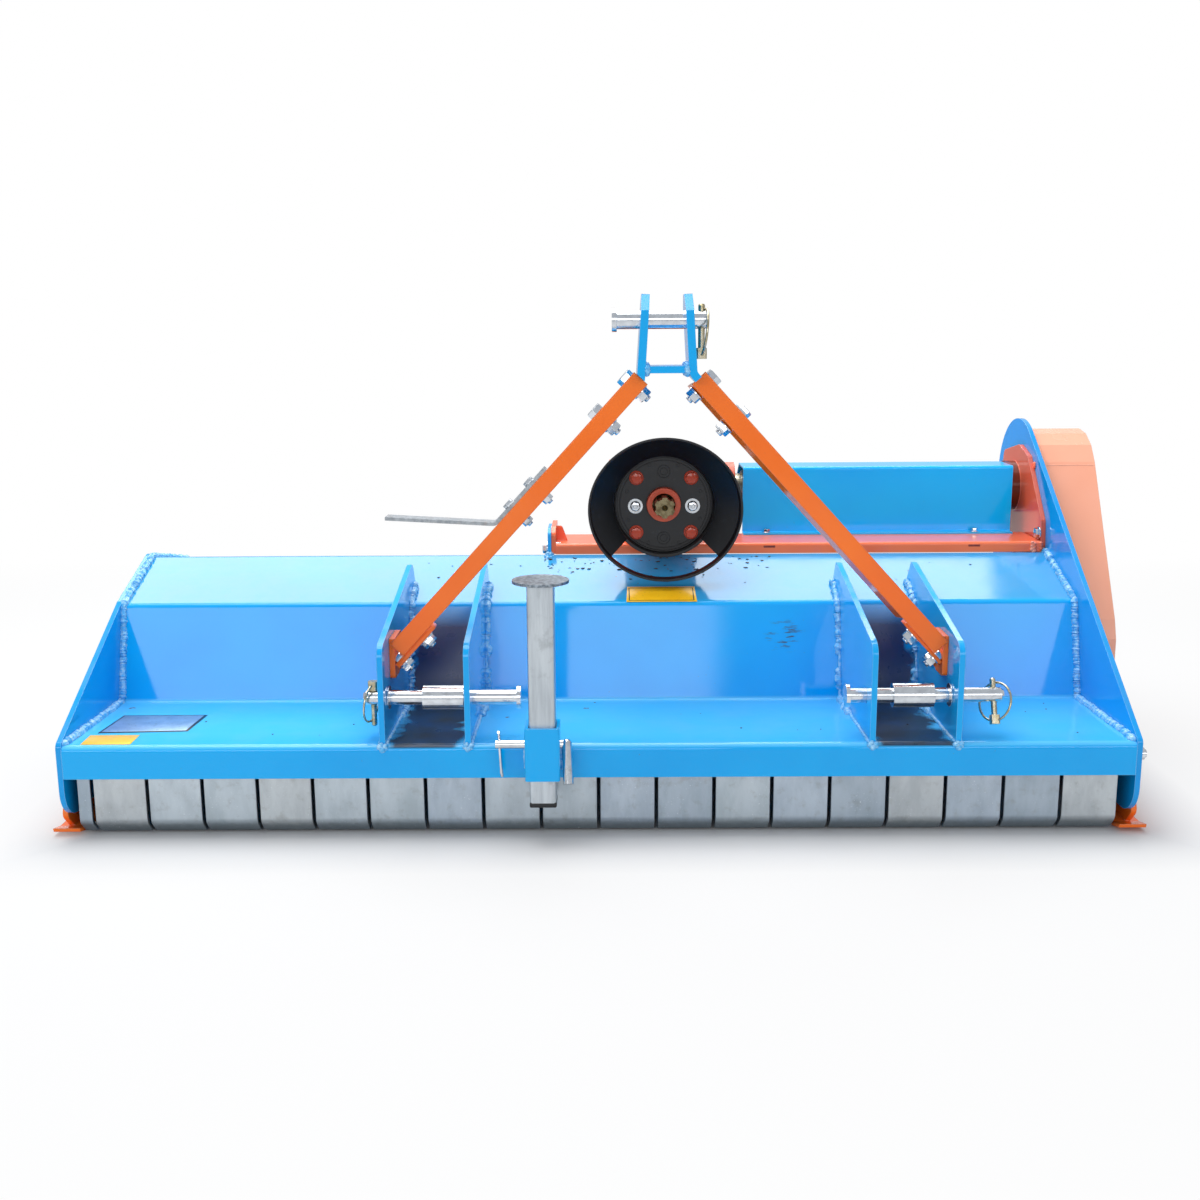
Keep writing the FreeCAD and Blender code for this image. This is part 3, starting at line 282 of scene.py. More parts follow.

# %% [markdown]
# Most of the machine is sprayed gloss enamel over steel. Such paint has a skin
# with a slight orange peel, a little dust that settles on what faces up, tiny
# chips with primer and rust in them, and corners that are never quite sharp.
# The patterns are worked out from real sizes: peel of 3 mm, dust clouds of
# 60 mm, chips of 2 to 4 mm. A thin pale line is painted along sharp edges: a
# painted highlight, where a rounded edge would catch the light. It lies where
# the true normal and the one rounded by the Bevel node differ.

# %% Sprayed enamel
def enamel(name, main, deep, dust="C3C0B4", dusty=0.1, chips=0.5, peel=0.08, rough=0.09, smeared=0.05,
           edge_mm=1.2, edge="FFFFFF", edge_highlight_share=0.0, grain_mm=3, grain_deep=0.4, ior=1.5, cloud_mm=240):
    """Paint in two shades; dusty, chips and smeared say how much of each wear there is, and the edge share
    how much painted highlight lines the edges.
    """
    material, tree, place, shader = surface(name)
    cloud = blotches(tree, place, cloud_mm, 0.35, 0.7)
    tint = add(tree, "Mix", {0: cloud, 6: colour(main), 7: colour(deep)}, **MIX)
    up = add(tree, "SeparateXYZ", {0: add(tree, "NewGeometry", out="Normal")}, out="Z")
    up = add(tree, "MapRange", {"Value": up, "From Min": 0.55, "From Max": 0.95})
    film = add(tree, "Math", {0: blotches(tree, place, 60, 0.3, 0.75, 5), 1: up}, **MUL)
    film = add(tree, "Math", {0: film, 1: dusty}, **MUL)
    tint = add(tree, "Mix", {0: film, 6: tint, 7: colour(dust)}, **MIX)
    chip = blotches(tree, place, 3.2, 0.73, 0.76, 2)
    for share in (blotches(tree, place, 90, 0.5, 0.62), chips):
        chip = add(tree, "Math", {0: chip, 1: share}, **MUL)
    tint = add(tree, "Mix", {0: chip, 6: tint, 7: colour("5A4436")}, **MIX)
    # A painted highlight: a pale line along the edges, where the normal rounded by the Bevel node turns away
    # from the true one.
    if edge_highlight_share:
        rounded = add(tree, "Bevel", {"Radius": 1.6 * MM}, samples=6)
        true_way = add(tree, "NewGeometry", out="True Normal")
        along = add(tree, "VectorMath", {0: rounded, 1: true_way}, out="Value", operation="DOT_PRODUCT")
        wear_and_edge_highlight = add(tree, "MapRange", {"Value": along, "From Min": 0.97, "From Max": 0.82,
                                      "To Max": edge_highlight_share})
        tint = add(tree, "Mix", {0: wear_and_edge_highlight, 6: tint, 7: colour(edge)}, **MIX)
    tree.links.new(tint, shader.inputs["Base Color"])
    smear = blotches(tree, place, 25, 0.3, 0.8, 4)
    gloss = add(tree, "MapRange", {"Value": smear, "To Min": rough, "To Max": rough + smeared})
    gloss = add(tree, "Math", {0: gloss, 1: film}, operation="ADD")
    tree.links.new(gloss, shader.inputs["Roughness"])
    finish_skin(tree, shader, place, grain_mm, peel, grain_deep, edge_mm)
    shader.inputs["IOR"].default_value = ior
    return material


BLUE, BLUE_DEEP = "04ABF0", "02A2EA"
BLUE_GLOSS = {"rough": 0.05, "smeared": 0.04, "edge": "9AD8FF", "edge_highlight_share": 0.55, "ior": 1.44}
blue_enamel = enamel("sprayed_enamel_blue", BLUE, BLUE_DEEP, **BLUE_GLOSS)
# The side plates get a darker copy of the blue: painted shade, for sides that face away from the light.
side_enamel_painted_shade = enamel("sprayed_enamel_blue_side_plate_painted_shade", "0299E2", "0191DC", **BLUE_GLOSS)
# The shaft's cover gets a lighter copy of the blue: painted light, making up for the shade it stands in.
cover_enamel_painted_light = enamel("sprayed_enamel_blue_cover_painted_light", "04BCFF", "02B0FC", **BLUE_GLOSS)
orange_enamel = enamel("sprayed_enamel_orange", "FC7822", "F66E1E", dusty=0.08, chips=0.3, edge_mm=3,
                       edge="FFB890", edge_highlight_share=0.4)
print("enamels", blue_enamel.name, orange_enamel.name)

# %% [markdown]
# The hood has marks of its own. Between the two plates of each hitch pair the
# spray gun couldn't reach, so the paint there is thin and a little duller, and the
# shade that falls between the plates is painted into it: a dark navy on the
# upright face, and a dark grey-blue over the primer on the ledge. Where the
# machine was handled, rust has come through on the ledge and the slope: a few
# spots a centimetre wide, each a soft ball of colour at its own place, broken up
# by noise. A boot has scraped the upright face: a patch of slanting grey
# streaks, from stretched noise. The ledge is lightened a little with a pale
# cyan, painted light from above, and the slope above the upright face is mixed
# a third of the way towards a grey blue.

# %% The hood's enamel
hood_enamel = enamel("sprayed_enamel_blue_painted_shade_between_plates", BLUE, BLUE_DEEP, dusty=0.06,
                     **{**BLUE_GLOSS, "edge_highlight_share": 0.5})
LIP_TOP, LEDGE_TOP, FACE_TOP = 139.5, 143, 293
tree, shader, place, clean = reopen(hood_enamel)
across, depth, height = (add(tree, "SeparateXYZ", {0: place}, out=axis) for axis in "XYZ")
near_y, far_y = spot(0, 310, 0).y, spot(0, 330, 0).y
ragged = add(tree, "TexNoise", {"Vector": place, "Scale": per_size(30), "Detail": 4.0})
ragged = add(tree, "MapRange", {"Value": ragged, "From Min": 0.3, "From Max": 0.7, "To Min": -14 * MM,
                                "To Max": 14 * MM})
PAIRS = [(-309, -193), (403, 519)]
# Painted shade between the plates of each hitch pair, where the paint is also thinner and duller.
thin_paint_and_painted_shade = 0.0
for left, right in PAIRS:
    middle = spot((left + right) / 2, 0, 0).x
    off = add(tree, "Math", {0: across, 1: middle}, operation="SUBTRACT")
    off = add(tree, "Math", {0: off}, operation="ABSOLUTE")
    off = add(tree, "Math", {0: off, 1: ragged}, operation="ADD")
    inside = add(tree, "MapRange", {"Value": off, "From Min": 62 * MM, "From Max": 44 * MM})
    thin_paint_and_painted_shade = add(tree, "Math", {0: thin_paint_and_painted_shade, 1: inside}, operation="MAXIMUM")
under_top = add(tree, "MapRange", {"Value": height, "From Min": (FACE_TOP + 3) * MM,
                                   "From Max": (FACE_TOP - 38) * MM})
over_lip = add(tree, "MapRange", {"Value": height, "From Min": (LIP_TOP - 2.5) * MM,
                                  "From Max": LIP_TOP * MM})
forward = add(tree, "MapRange", {"Value": depth, "From Min": far_y, "From Max": near_y})
for mask in (under_top, over_lip, forward):
    thin_paint_and_painted_shade = add(tree, "Math", {0: thin_paint_and_painted_shade, 1: mask}, **MUL)
# There the ledge's primer and the upright face's navy are both dark with painted shade.
behind = add(tree, "MapRange", {"Value": depth, "From Min": spot(0, 236, 0).y, "From Max": spot(0, 262, 0).y})
patchy = blotches(tree, place, 70, 0.3, 0.72, 4)
primer_and_painted_shade = add(tree, "Mix", {0: patchy, 6: colour("26343F"), 7: colour("1A4066")}, **MIX)
painted_shade_between_plates = add(tree, "Mix", {0: behind, 6: primer_and_painted_shade, 7: colour("04305E")}, **MIX)
# A pale cyan over the ledge: painted light from above.
ledge_painted_light = add(tree, "MapRange", {"Value": height, "From Min": (LEDGE_TOP + 2) * MM,
                                  "From Max": (LEDGE_TOP - 1) * MM, "To Max": 0.25})
ledge_painted_light = add(tree, "Math", {0: ledge_painted_light, 1: over_lip}, **MUL)
clean = add(tree, "Mix", {0: ledge_painted_light, 6: clean, 7: colour("95EBFF")}, **MIX)
# The slope above the upright face is mixed towards a grey blue.
slope_greyed = add(tree, "MapRange", {"Value": height, "From Min": FACE_TOP * MM,
                               "From Max": (FACE_TOP + 4) * MM, "To Max": 0.32})
clean = add(tree, "Mix", {0: slope_greyed, 6: clean, 7: colour("50606E")}, **MIX)
tint = add(tree, "Mix", {0: thin_paint_and_painted_shade, 6: clean, 7: painted_shade_between_plates}, **MIX)
smooth = shader.inputs["Roughness"].links[0].from_socket
dry = add(tree, "Math", {0: thin_paint_and_painted_shade, 1: 0.22, 2: smooth}, operation="MULTIPLY_ADD")
tree.links.new(dry, shader.inputs["Roughness"])
RUST = [(-751, 212, 141, 9), (-93, 85, 142, 7), (-142, 148, 141, 6), (-21, 199, 141, 8), (-777, 381, 324, 6),
        (118, 396, 330, 4), (-40, 402, 331, 3.5), (30, 372, 320, 3), (66, 350, 313, 3)]
crumbled = add(tree, "TexNoise", {"Vector": place, "Scale": per_size(5), "Detail": 4.0})
for x, y, z, size in RUST:
    away = add(tree, "VectorMath", {0: place, 1: spot(x, y, z)}, out="Value", operation="DISTANCE")
    away = add(tree, "Math", {0: crumbled, 1: size * 1.6 * MM, 2: away}, operation="MULTIPLY_ADD")
    bare = add(tree, "MapRange", {"Value": away, "From Min": size * 1.4 * MM, "From Max": size * 1.15 * MM,
                                  "To Max": 0.9})
    tint = add(tree, "Mix", {0: bare, 6: tint, 7: colour("6B4A36")}, **MIX)
off = add(tree, "VectorMath", {0: place, 1: spot(303, 274, 240)}, operation="SUBTRACT")
off = add(tree, "VectorMath", {0: off, 1: (per_size(38), per_size(200), per_size(30))}, operation="MULTIPLY")
off = add(tree, "VectorMath", {0: off}, out="Value", operation="LENGTH")
trodden = add(tree, "MapRange", {"Value": off, "From Min": 1.0, "From Max": 0.4})
slant = add(tree, "Mapping", {"Vector": place, "Rotation": (0, 0.8, 0), "Scale": (0.3, 1, 1.6)})
scrape = add(tree, "Math", {0: blotches(tree, slant, 9, 0.52, 0.62, 6, 0.7), 1: trodden}, **MUL)
tint = add(tree, "Mix", {0: scrape, 6: tint, 7: colour("3E5C74")}, **MIX)
tree.links.new(tint, shader.inputs["Base Color"])
print(len(RUST), "rust spots and a scrape on the hood")

# %% [markdown]
# The gearbox is grey cast iron: sand moulding leaves a skin of 2 mm grains under
# its thicker red-orange paint, so its gloss breaks up. The beam and the bearing
# plate are sprayed with that same redder paint, but they are rolled steel and
# smooth. The belt guard's orange has faded.

# %% Red paint on cast iron and on rolled steel
RED_EDGES = {"edge_mm": 2, "edge": "FFC0A0", "edge_highlight_share": 0.35}
red_enamel = enamel("sprayed_enamel_red_orange", "FF7A4A", "F66C42", **RED_EDGES)
faded_orange = enamel("sprayed_enamel_orange_faded", "FFB496", "FBAC8C", dusty=0.1, chips=0.15, rough=0.2,
                      edge="FFE0D0", edge_highlight_share=0.5)
cast_red = enamel("painted_cast_iron_red", "DC5834", "C8482A", dusty=0.25, chips=0.6, rough=0.3,
                  smeared=0.12, peel=0.55, edge_mm=1.6, grain_mm=2.2, grain_deep=0.7)
bolt_red = enamel("sprayed_enamel_red_on_bolts", "C8401E", "B03214", chips=0.3, rough=0.12, edge_mm=0.4)
# The bearing's housing stands on the plate's inner face, and is coloured a dark red-brown.
plate_red = enamel("sprayed_enamel_red_by_dark_housing", "E66A4C", "DA5E44", **RED_EDGES)
tree, shader, place, clean = reopen(plate_red)
inward = add(tree, "SeparateXYZ", {0: place}, out="X")
plate_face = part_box("bearing_plate")[1].x - 8.6 * MM
housing = add(tree, "MapRange", {"Value": inward, "From Min": plate_face, "From Max": plate_face - 1 * MM})
tint = add(tree, "Mix", {0: housing, 6: clean, 7: colour("6E3020")}, **MIX)
tree.links.new(tint, shader.inputs["Base Color"])
SATIN = {"dust": "8C8576", "smeared": 0.12}
satin_black = enamel("satin_enamel_black", "26272A", "1E1F22", dusty=0.4, rough=0.4, **SATIN)
rotor_grey = enamel("satin_enamel_rotor", "3C3D40", "2E2F32", dusty=0.35, rough=0.42, **SATIN)
print("other paints", red_enamel.name, cast_red.name, satin_black.name, rotor_grey.name)

# %% [markdown]
# Bare metal comes in four finishes here. Pins and bolts are bright zinc plate,
# with a faint yellow passivation on the spring pins. The flaps and the stand are
# dull hot-dip zinc, cloudy and slightly streaked from draining, and darker where
# they are handled and splashed; the stand's foot disc, on top, is the most worn,
# so a mask by height gives it mottled grey. The splined shafts are turned steel
# under a film of brown grease. The hammers are forged, with a dark scale. All are
# metals, so their colour is in the reflection, and roughness tells them apart.

# %% Bare metals
def metal(name, main, deep, cloud_mm, rough, rough_more, stretch=(1, 1, 1), grain_mm=1.5, grain=0.05,
          dirt=None):
    """A metal; dirt is its colour, the size of its marks in millimetres, and how much covers."""
    material, tree, place, shader = surface(name)
    drawn = add(tree, "Mapping", {"Vector": place, "Scale": stretch})
    cloud = blotches(tree, drawn, cloud_mm, 0.3, 0.72, 5, 0.6)
    tint = add(tree, "Mix", {0: cloud, 6: colour(main), 7: colour(deep)}, **MIX)
    if dirt:
        dirt_colour, dirt_mm, cover = dirt
        cover = add(tree, "Math", {0: blotches(tree, place, dirt_mm, 0.52, 0.72, 5, 0.65), 1: cover}, **MUL)
        tint = add(tree, "Mix", {0: cover, 6: tint, 7: colour(dirt_colour)}, **MIX)
    tree.links.new(tint, shader.inputs["Base Color"])
    gloss = add(tree, "MapRange", {"Value": cloud, "To Min": rough, "To Max": rough + rough_more})
    tree.links.new(gloss, shader.inputs["Roughness"])
    shader.inputs["Metallic"].default_value = 1.0
    finish_skin(tree, shader, drawn, grain_mm, grain, 0.3, 0.5)
    return material


bright_zinc = metal("zinc_plate_bright", "E2E6E9", "CCD0D4", 14, 0.11, 0.1, dirt=("857668", 9, 0.22))
yellow_zinc = metal("zinc_plate_passivated", "CFC9B4", "B0A27C", 7, 0.22, 0.12, dirt=("6E5E3E", 5, 0.4))
bar_zinc = metal("hot_dip_zinc_bar", "B4B9BD", "8C9297", 9, 0.3, 0.14, dirt=("A8988C", 14, 0.5))
stand_zinc = metal("hot_dip_zinc_tube", "CED5D9", "B2B9BE", 10, 0.34, 0.14, stretch=(1, 1, 0.08),
                   dirt=("8A8F92", 22, 0.4))
greasy_steel = metal("turned_steel_greased", "928768", "5C4E36", 8, 0.26, 0.18, dirt=("3A2A18", 5, 0.7))
plain_steel = metal("turned_steel_bright", "B9B4A4", "8E8570", 12, 0.3, 0.2, stretch=(0.1, 1, 1),
                    dirt=("5A4A36", 14, 0.5))
forged = metal("forged_steel_scale", "5A5550", "3A3632", 12, 0.5, 0.2, grain_mm=2.5, grain=0.4,
               dirt=("6A4630", 16, 0.5))
tree, shader, place, clean = reopen(stand_zinc)
above = add(tree, "SeparateXYZ", {0: place}, out="Z")
stand_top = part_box("stand_leg")[1].z
above = add(tree, "MapRange", {"Value": above, "From Min": stand_top - 7 * MM,
                               "From Max": stand_top - 5 * MM})
mottled = blotches(tree, place, 5, 0.4, 0.6, 5)
wear_and_edge_highlight = add(tree, "Mix", {0: mottled, 6: colour("A4AEB6"), 7: colour("727B83")}, **MIX)
tint = add(tree, "Mix", {0: above, 6: clean, 7: wear_and_edge_highlight}, **MIX)
tree.links.new(tint, shader.inputs["Base Color"])
print("metals", bright_zinc.name, yellow_zinc.name, stand_zinc.name, greasy_steel.name, forged.name)

# %% [markdown]
# Each flap was cut from galvanised sheet and dipped on its own, so no two have
# quite the same grey: some lean to blue, some to brown. Five shades are handed
# out in turn. Drips run down them, and a band mask by height makes them darker
# towards the bottom, over the bent edge, broken up by noise.

# %% Galvanised flaps
flap_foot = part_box("flap_05")[0].z
FLAP_SHADES = [("B0BCC6", "9EABB5"), ("C2CCD2", "B0BAC0"), ("BAC6D0", "A8B4BF"), ("C4CACC", "B2B8BB"),
               ("BEC8CE", "ACB7BD")]


def flap_zinc(name, main, deep):
    """Dipped sheet, darker towards its foot, with a few pale grazes."""
    material = metal(name, main, deep, 30, 0.36, 0.12, stretch=(1, 1, 0.35), grain_mm=2, grain=0.1,
                     dirt=("868480", 18, 0.3))
    tree, shader, place, clean = reopen(material)
    # Darker towards the bottom, in a band by height whose edge wanders with noise.
    height = add(tree, "SeparateXYZ", {0: place}, out="Z")
    ragged = add(tree, "TexNoise", {"Vector": place, "Scale": per_size(14), "Detail": 5.0, "Roughness": 0.6})
    wander = add(tree, "Math", {0: ragged, 1: 14 * MM, 2: height}, operation="MULTIPLY_ADD")
    band = add(tree, "MapRange", {"Value": wander, "From Min": flap_foot + 26 * MM,
                                  "From Max": flap_foot + 13 * MM, "To Max": 0.85})
    tint = add(tree, "Mix", {0: band, 6: clean, 7: colour("8E9AA1")}, **MIX)
    grazed = blotches(tree, place, 2.4, 0.66, 0.72, 2)
    grazed = add(tree, "Math", {0: grazed, 1: blotches(tree, place, 45, 0.45, 0.6)}, **MUL)
    tint = add(tree, "Mix", {0: grazed, 6: tint, 7: colour("DDE3E6")}, **MIX)
    tree.links.new(tint, shader.inputs["Base Color"])
    return material


flap_shades = [flap_zinc(f"hot_dip_zinc_sheet_{i}", *pair) for i, pair in enumerate(FLAP_SHADES)]
print(len(flap_shades), "shades of flap, stained up to", round(flap_foot / MM + 20), "mm")

# %% [markdown]
# The guard round the drive shaft is moulded polyethylene: nearly black, a soft
# sheen, a fine grain from the mould and pale scuffs where the shaft's chain and
# hands rub it. The rear curtain is cloth-backed rubber, duller and dustier.

# %% Plastic and rubber
def moulded(name, main, deep, rough, grain_mm, grain, scuff, scuff_share):
    """Plastic or rubber, with scuffs of their own colour that cover that share."""
    material, tree, place, shader = surface(name)
    cloud = blotches(tree, place, 40, 0.35, 0.7)
    tint = add(tree, "Mix", {0: cloud, 6: colour(main), 7: colour(deep)}, **MIX)
    mark = add(tree, "Math", {0: blotches(tree, place, 12, 0.55, 0.8, 6, 0.7), 1: scuff_share}, **MUL)
    tint = add(tree, "Mix", {0: mark, 6: tint, 7: colour(scuff)}, **MIX)
    tree.links.new(tint, shader.inputs["Base Color"])
    gloss = add(tree, "MapRange", {"Value": mark, "To Min": rough, "To Max": rough + 0.25})
    tree.links.new(gloss, shader.inputs["Roughness"])
    finish_skin(tree, shader, place, grain_mm, grain, 0.3, 0.8)
    shader.inputs["IOR"].default_value = 1.5
    return material


guard_plastic = moulded("moulded_polyethylene_black", "101114", "0B0C0F", 0.34, 1.2, 0.15, "55585C", 0.22)
curtain_rubber = moulded("cloth_backed_rubber", "2B2A29", "1F1E1D", 0.65, 1.6, 0.5, "77705F", 0.45)
print("plastics", guard_plastic.name, curtain_rubber.name)

# %% [markdown]
# Now every node of the frame gets its finish. A node keeps its own mesh, and only
# its material slot is filled, so one table from finish to node names is enough.

# %% Finishes on the frame
finishes = {
    hood_enamel: ["hood"],
    side_enamel_painted_shade: ["side_plate_left", "side_plate_right"],
    blue_enamel: ["hitch_plates_left", "hitch_plates_right", "top_clevis", "stand_socket", "beam_lug",
                  "roller_bracket_left", "roller_bracket_right"],
    cover_enamel_painted_light: ["shaft_cover"],
    orange_enamel: ["stay_left", "stay_right", "skid_left", "skid_right"],
    faded_orange: ["belt_guard"],
    red_enamel: ["support_beam"],
    plate_red: ["bearing_plate"],
    cast_red: ["gearbox", "input_seal"],
    rotor_grey: ["rotor", "hammer_lugs"],
    forged: ["hammers"],
    satin_black: ["rotor_bearings", "roller"],
    greasy_steel: ["pto_shaft"],
    plain_steel: ["cross_shaft"],
    bright_zinc: ["lower_pin_left", "lower_pin_right", "top_pin", "pin_sleeves", "stand_pin", "flap_rod"],
    yellow_zinc: ["linch_pins"],
    stand_zinc: ["stand_leg"],
    bar_zinc: ["shaft_hanger", "curtain_strip"],
    guard_plastic: ["pto_guard"],
    curtain_rubber: ["rear_curtain"],
}
flaps = sorted(n for n in nodes if n.startswith("flap_") and n != "flap_rod")
for index, name in enumerate(flaps):
    finishes.setdefault(flap_shades[(index * 3 + index // 4) % len(flap_shades)], []).append(name)
for material, names in finishes.items():
    for name in names:
        nodes[name].data.materials.clear()
        nodes[name].data.materials.append(material)
left_out = sorted(set(nodes) - {n for names in finishes.values() for n in names})
print(len(nodes), "nodes finished, left out:", left_out)

# %% [markdown]
# The frame has no fasteners and no welds, so those are added as pieces of their
# own. Many are turned parts: a half outline spun round its own axis. make()
# closes each piece: it merges doubles, turns the faces outwards, and lets the
# piece ride on its body of the frame, so that it moves with that body.

# %% Making a piece
def make(name, bm, material, body="frame"):
    """Closes a piece, leaves edges of over 35 degrees sharp, and lets it ride on its body."""
    bmesh.ops.remove_doubles(bm, verts=bm.verts[:], dist=1e-6)
    bmesh.ops.recalc_face_normals(bm, faces=bm.faces[:])
    mesh = bpy.data.meshes.new(name)
    bm.to_mesh(mesh)
    bm.free()
    mesh.polygons.foreach_set("use_smooth", [True] * len(mesh.polygons))
    mesh.set_sharp_from_angle(angle=math.radians(35))
    mesh.materials.append(material)
    piece = put(name, mesh)
    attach(piece, body)
    mesh.calc_loop_triangles()
    print(name, len(mesh.loop_triangles), "triangles")


def standing(place, way):
    """The matrix that puts a shape's own Z along a direction, at a place."""
    return Matrix.Translation(place) @ Vector(way).to_track_quat("Z", "Y").to_matrix().to_4x4()


def turned(bm, place, way, outline, sides=24):
    """A turned part: outline is a list of (height, radius) in millimetres along the way."""
    set_up = standing(place, way)
    line = [bm.verts.new(set_up @ Vector((r * MM, 0, h * MM))) for h, r in outline]
    edges = [bm.edges.new(pair) for pair in zip(line, line[1:])]
    bmesh.ops.spin(bm, geom=line + edges, cent=place, axis=Vector(way).normalized(), dvec=(0, 0, 0),
                   angle=2 * math.pi, steps=sides, use_merge=True, use_duplicate=False)


print("ready: make, standing and turned")

# %% [markdown]
# The bolts are ordinary hex bolts with bright zinc. A head is a low hexagon with
# its outer corners knocked off, on a thin washer; on the far side the stud's end
# sticks out of its nut by a few threads. The threads are real rings, because a
# plain stub reads as a pin. Each bolt is set in by the place of its seat and the
# way it points.

# %% Nuts, bolts and washers
def round_off(bm, edges, radius, segments=2):
    """Bevels edges by that many millimetres."""
    bmesh.ops.bevel(bm, geom=edges, offset=radius * MM, offset_type="OFFSET", affect="EDGES",
                    segments=segments, profile=0.5, material=-1)


def between(verts):
    """The edges that run from one of the vertices to another, each once, in the same order every run."""
    return list(dict.fromkeys(e for v in verts for e in v.link_edges if e.other_vert(v) in verts))


def hexagon(bm, place, way, across, height, turn=0.0):
    """Hexagon prism of that width across its flats, standing on the place, its outer corners bevelled."""
    set_up = standing(place, way) @ Matrix.Rotation(turn, 4, "Z")
    radius = across / math.sqrt(3) * MM
    middle = set_up @ Matrix.Translation((0, 0, height * MM / 2))
    made = bmesh.ops.create_cone(bm, cap_ends=True, segments=6, radius1=radius, radius2=radius,
                                 depth=height * MM, matrix=middle)["verts"]
    top = [v for v in made if (set_up.inverted() @ v.co).z > height * MM * 0.9]
    round_off(bm, between(top), across * 0.07)


def washer(bm, place, way, radius, thick):
    """A plain washer without its hole, which its bolt hides."""
    turned(bm, place, way, [(0, 0), (0, radius - 0.3), (0.3, radius), (thick - 0.3, radius),
                            (thick, radius - 0.3), (thick, 0)])


def stud(bm, place, way, size, length):
    """Threaded end: crests and roots a pitch apart, and a chamfered tip."""
    pitch = max(1.75, size * 0.15)
    outline = [(0, 0)]
    for k in range(int(length / pitch)):
        outline += [(k * pitch, size * 0.43), (k * pitch + pitch / 2, size / 2)]
    outline += [(length - 0.8, size * 0.45), (length, size * 0.36), (length, 0)]
    turned(bm, place, way, outline, 14)


ACROSS_FLATS, HEAD_HIGH, NUT_HIGH = 1.62, 0.66, 0.85


def bolt_head(bm, place, way, size, turn=0.0, plate=True, high=HEAD_HIGH):
    """A hexagon of that size of thread, on its washer if it has one; returns how high the hexagon stands."""
    way = Vector(way).normalized()
    rise = size * 0.2 if plate else 0.0
    if plate:
        washer(bm, place, way, size * 1.08, rise)
    hexagon(bm, place + way * rise * MM, way, size * ACROSS_FLATS, size * high, turn)
    return rise


def nut(bm, place, way, size, turn=0.0, out=5.0, plate=True):
    """A nut, with the end of its stud sticking out that far."""
    rise = bolt_head(bm, place, way, size, turn, plate, NUT_HIGH)
    way = Vector(way).normalized()
    stud(bm, place + way * (rise + size * 0.8) * MM, way, size, out + size * 0.05)


print("an M12 nut is", round(12 * ACROSS_FLATS, 1), "mm across its flats")

# %% [markdown]
# The two stays that brace the top link are angle iron. At the top each is held
# to a foot of the clevis by two bolts set square to the stay; below, a lug on
# each stay is bolted inside the outer hitch plate with two M12 bolts. Places
# along a stay are counted from its ends, so the bolts keep their rows.

# %% Bolts of the stays
STAY_MIDDLE, STAY_TOP, STAY_LOW = 105, (41, 665), (402, 270)


def on_stay(side, up, across, y):
    """A place on a stay: up from its lower end, and across, outward from its middle line."""
    low = Vector((STAY_MIDDLE + side * STAY_LOW[0], STAY_LOW[1]))
    top = Vector((STAY_MIDDLE + side * STAY_TOP[0], STAY_TOP[1]))
    way = (top - low).normalized()
    outward = Vector((side * way.y, -side * way.x))
    at = low + way * up + outward * across
    return spot(at.x, y, at.y)


def pushed(bm, corners, push):
    """A block: a face over its corners, pushed out by a vector in millimetres; returns the new end."""
    face = bm.faces.new([bm.verts.new(c) for c in corners])
    grown = bmesh.ops.extrude_face_region(bm, geom=[face])["geom"]
    verts = [g for g in grown if isinstance(g, bmesh.types.BMVert)]
    bmesh.ops.translate(bm, vec=Vector(push) * MM, verts=verts)
    return verts


stay_length = (Vector(STAY_TOP) - Vector(STAY_LOW)).length
OUTWARD = {side: (on_stay(side, 0, 1, 0) - on_stay(side, 0, 0, 0)).normalized() for side in (-1, 1)}
bm = bmesh.new()
for side, outward in OUTWARD.items():
    for k, drop in enumerate((15, 79)):
        up, turn = stay_length - drop, 0.35 + 0.3 * side + 0.4 * k
        washer(bm, on_stay(side, up, 3.5, 80), outward, 10, 9.0)
        bolt_head(bm, on_stay(side, up, 12.5, 80), outward, 13.5, turn, plate=False)
        nut(bm, on_stay(side, up, -13 - (3 if side > 0 else 0), 80), -outward, 11.5, turn + 0.2, out=4.5)
make("stay_bolts_upper", bm, bright_zinc)

bm = bmesh.new()
feet = bmesh.new()
FOOT_T = {-1: 8, 1: 5}
for side, outward in OUTWARD.items():
    seat = -13 - FOOT_T[side]
    for k, up in enumerate((-10, 38)):
        nut(bm, on_stay(side, up, seat, 80), -outward, 12, 0.2 + 0.5 * k, out=4)
        bolt_head(bm, on_stay(side, up, -8 if up > 0 else -13, 80), outward, 12, 0.4 * k, plate=False)
    corners = ((-20, seat), (-20, -13), (62, -13), (62, seat))
    pushed(feet, [on_stay(side, up, across, 68) for up, across in corners], (0, 24, 0))
round_off(feet, feet.edges[:], 0.8)
make("stay_bolts_lower", bm, bright_zinc)
make("stay_feet", feet, orange_enamel)

bm = bmesh.new()
for up in (272, 316):
    bolt_head(bm, on_stay(-1, up, 18, 78), OUTWARD[-1], 9, 0.3, plate=False)
    nut(bm, on_stay(-1, up, -13, 78), -OUTWARD[-1], 9, 0.1, out=3.5, plate=False)
make("hanger_bolts", bm, bright_zinc)

# %% [markdown]
# A bar, a bent wire or a weld is a ring carried along a path, one extrusion at a
# time. It grows in a small mesh of its own, which stays quick however much the
# piece already holds. The ring is turned a little at each step, the shortest way
# from one direction to the next, so the bar never twists.

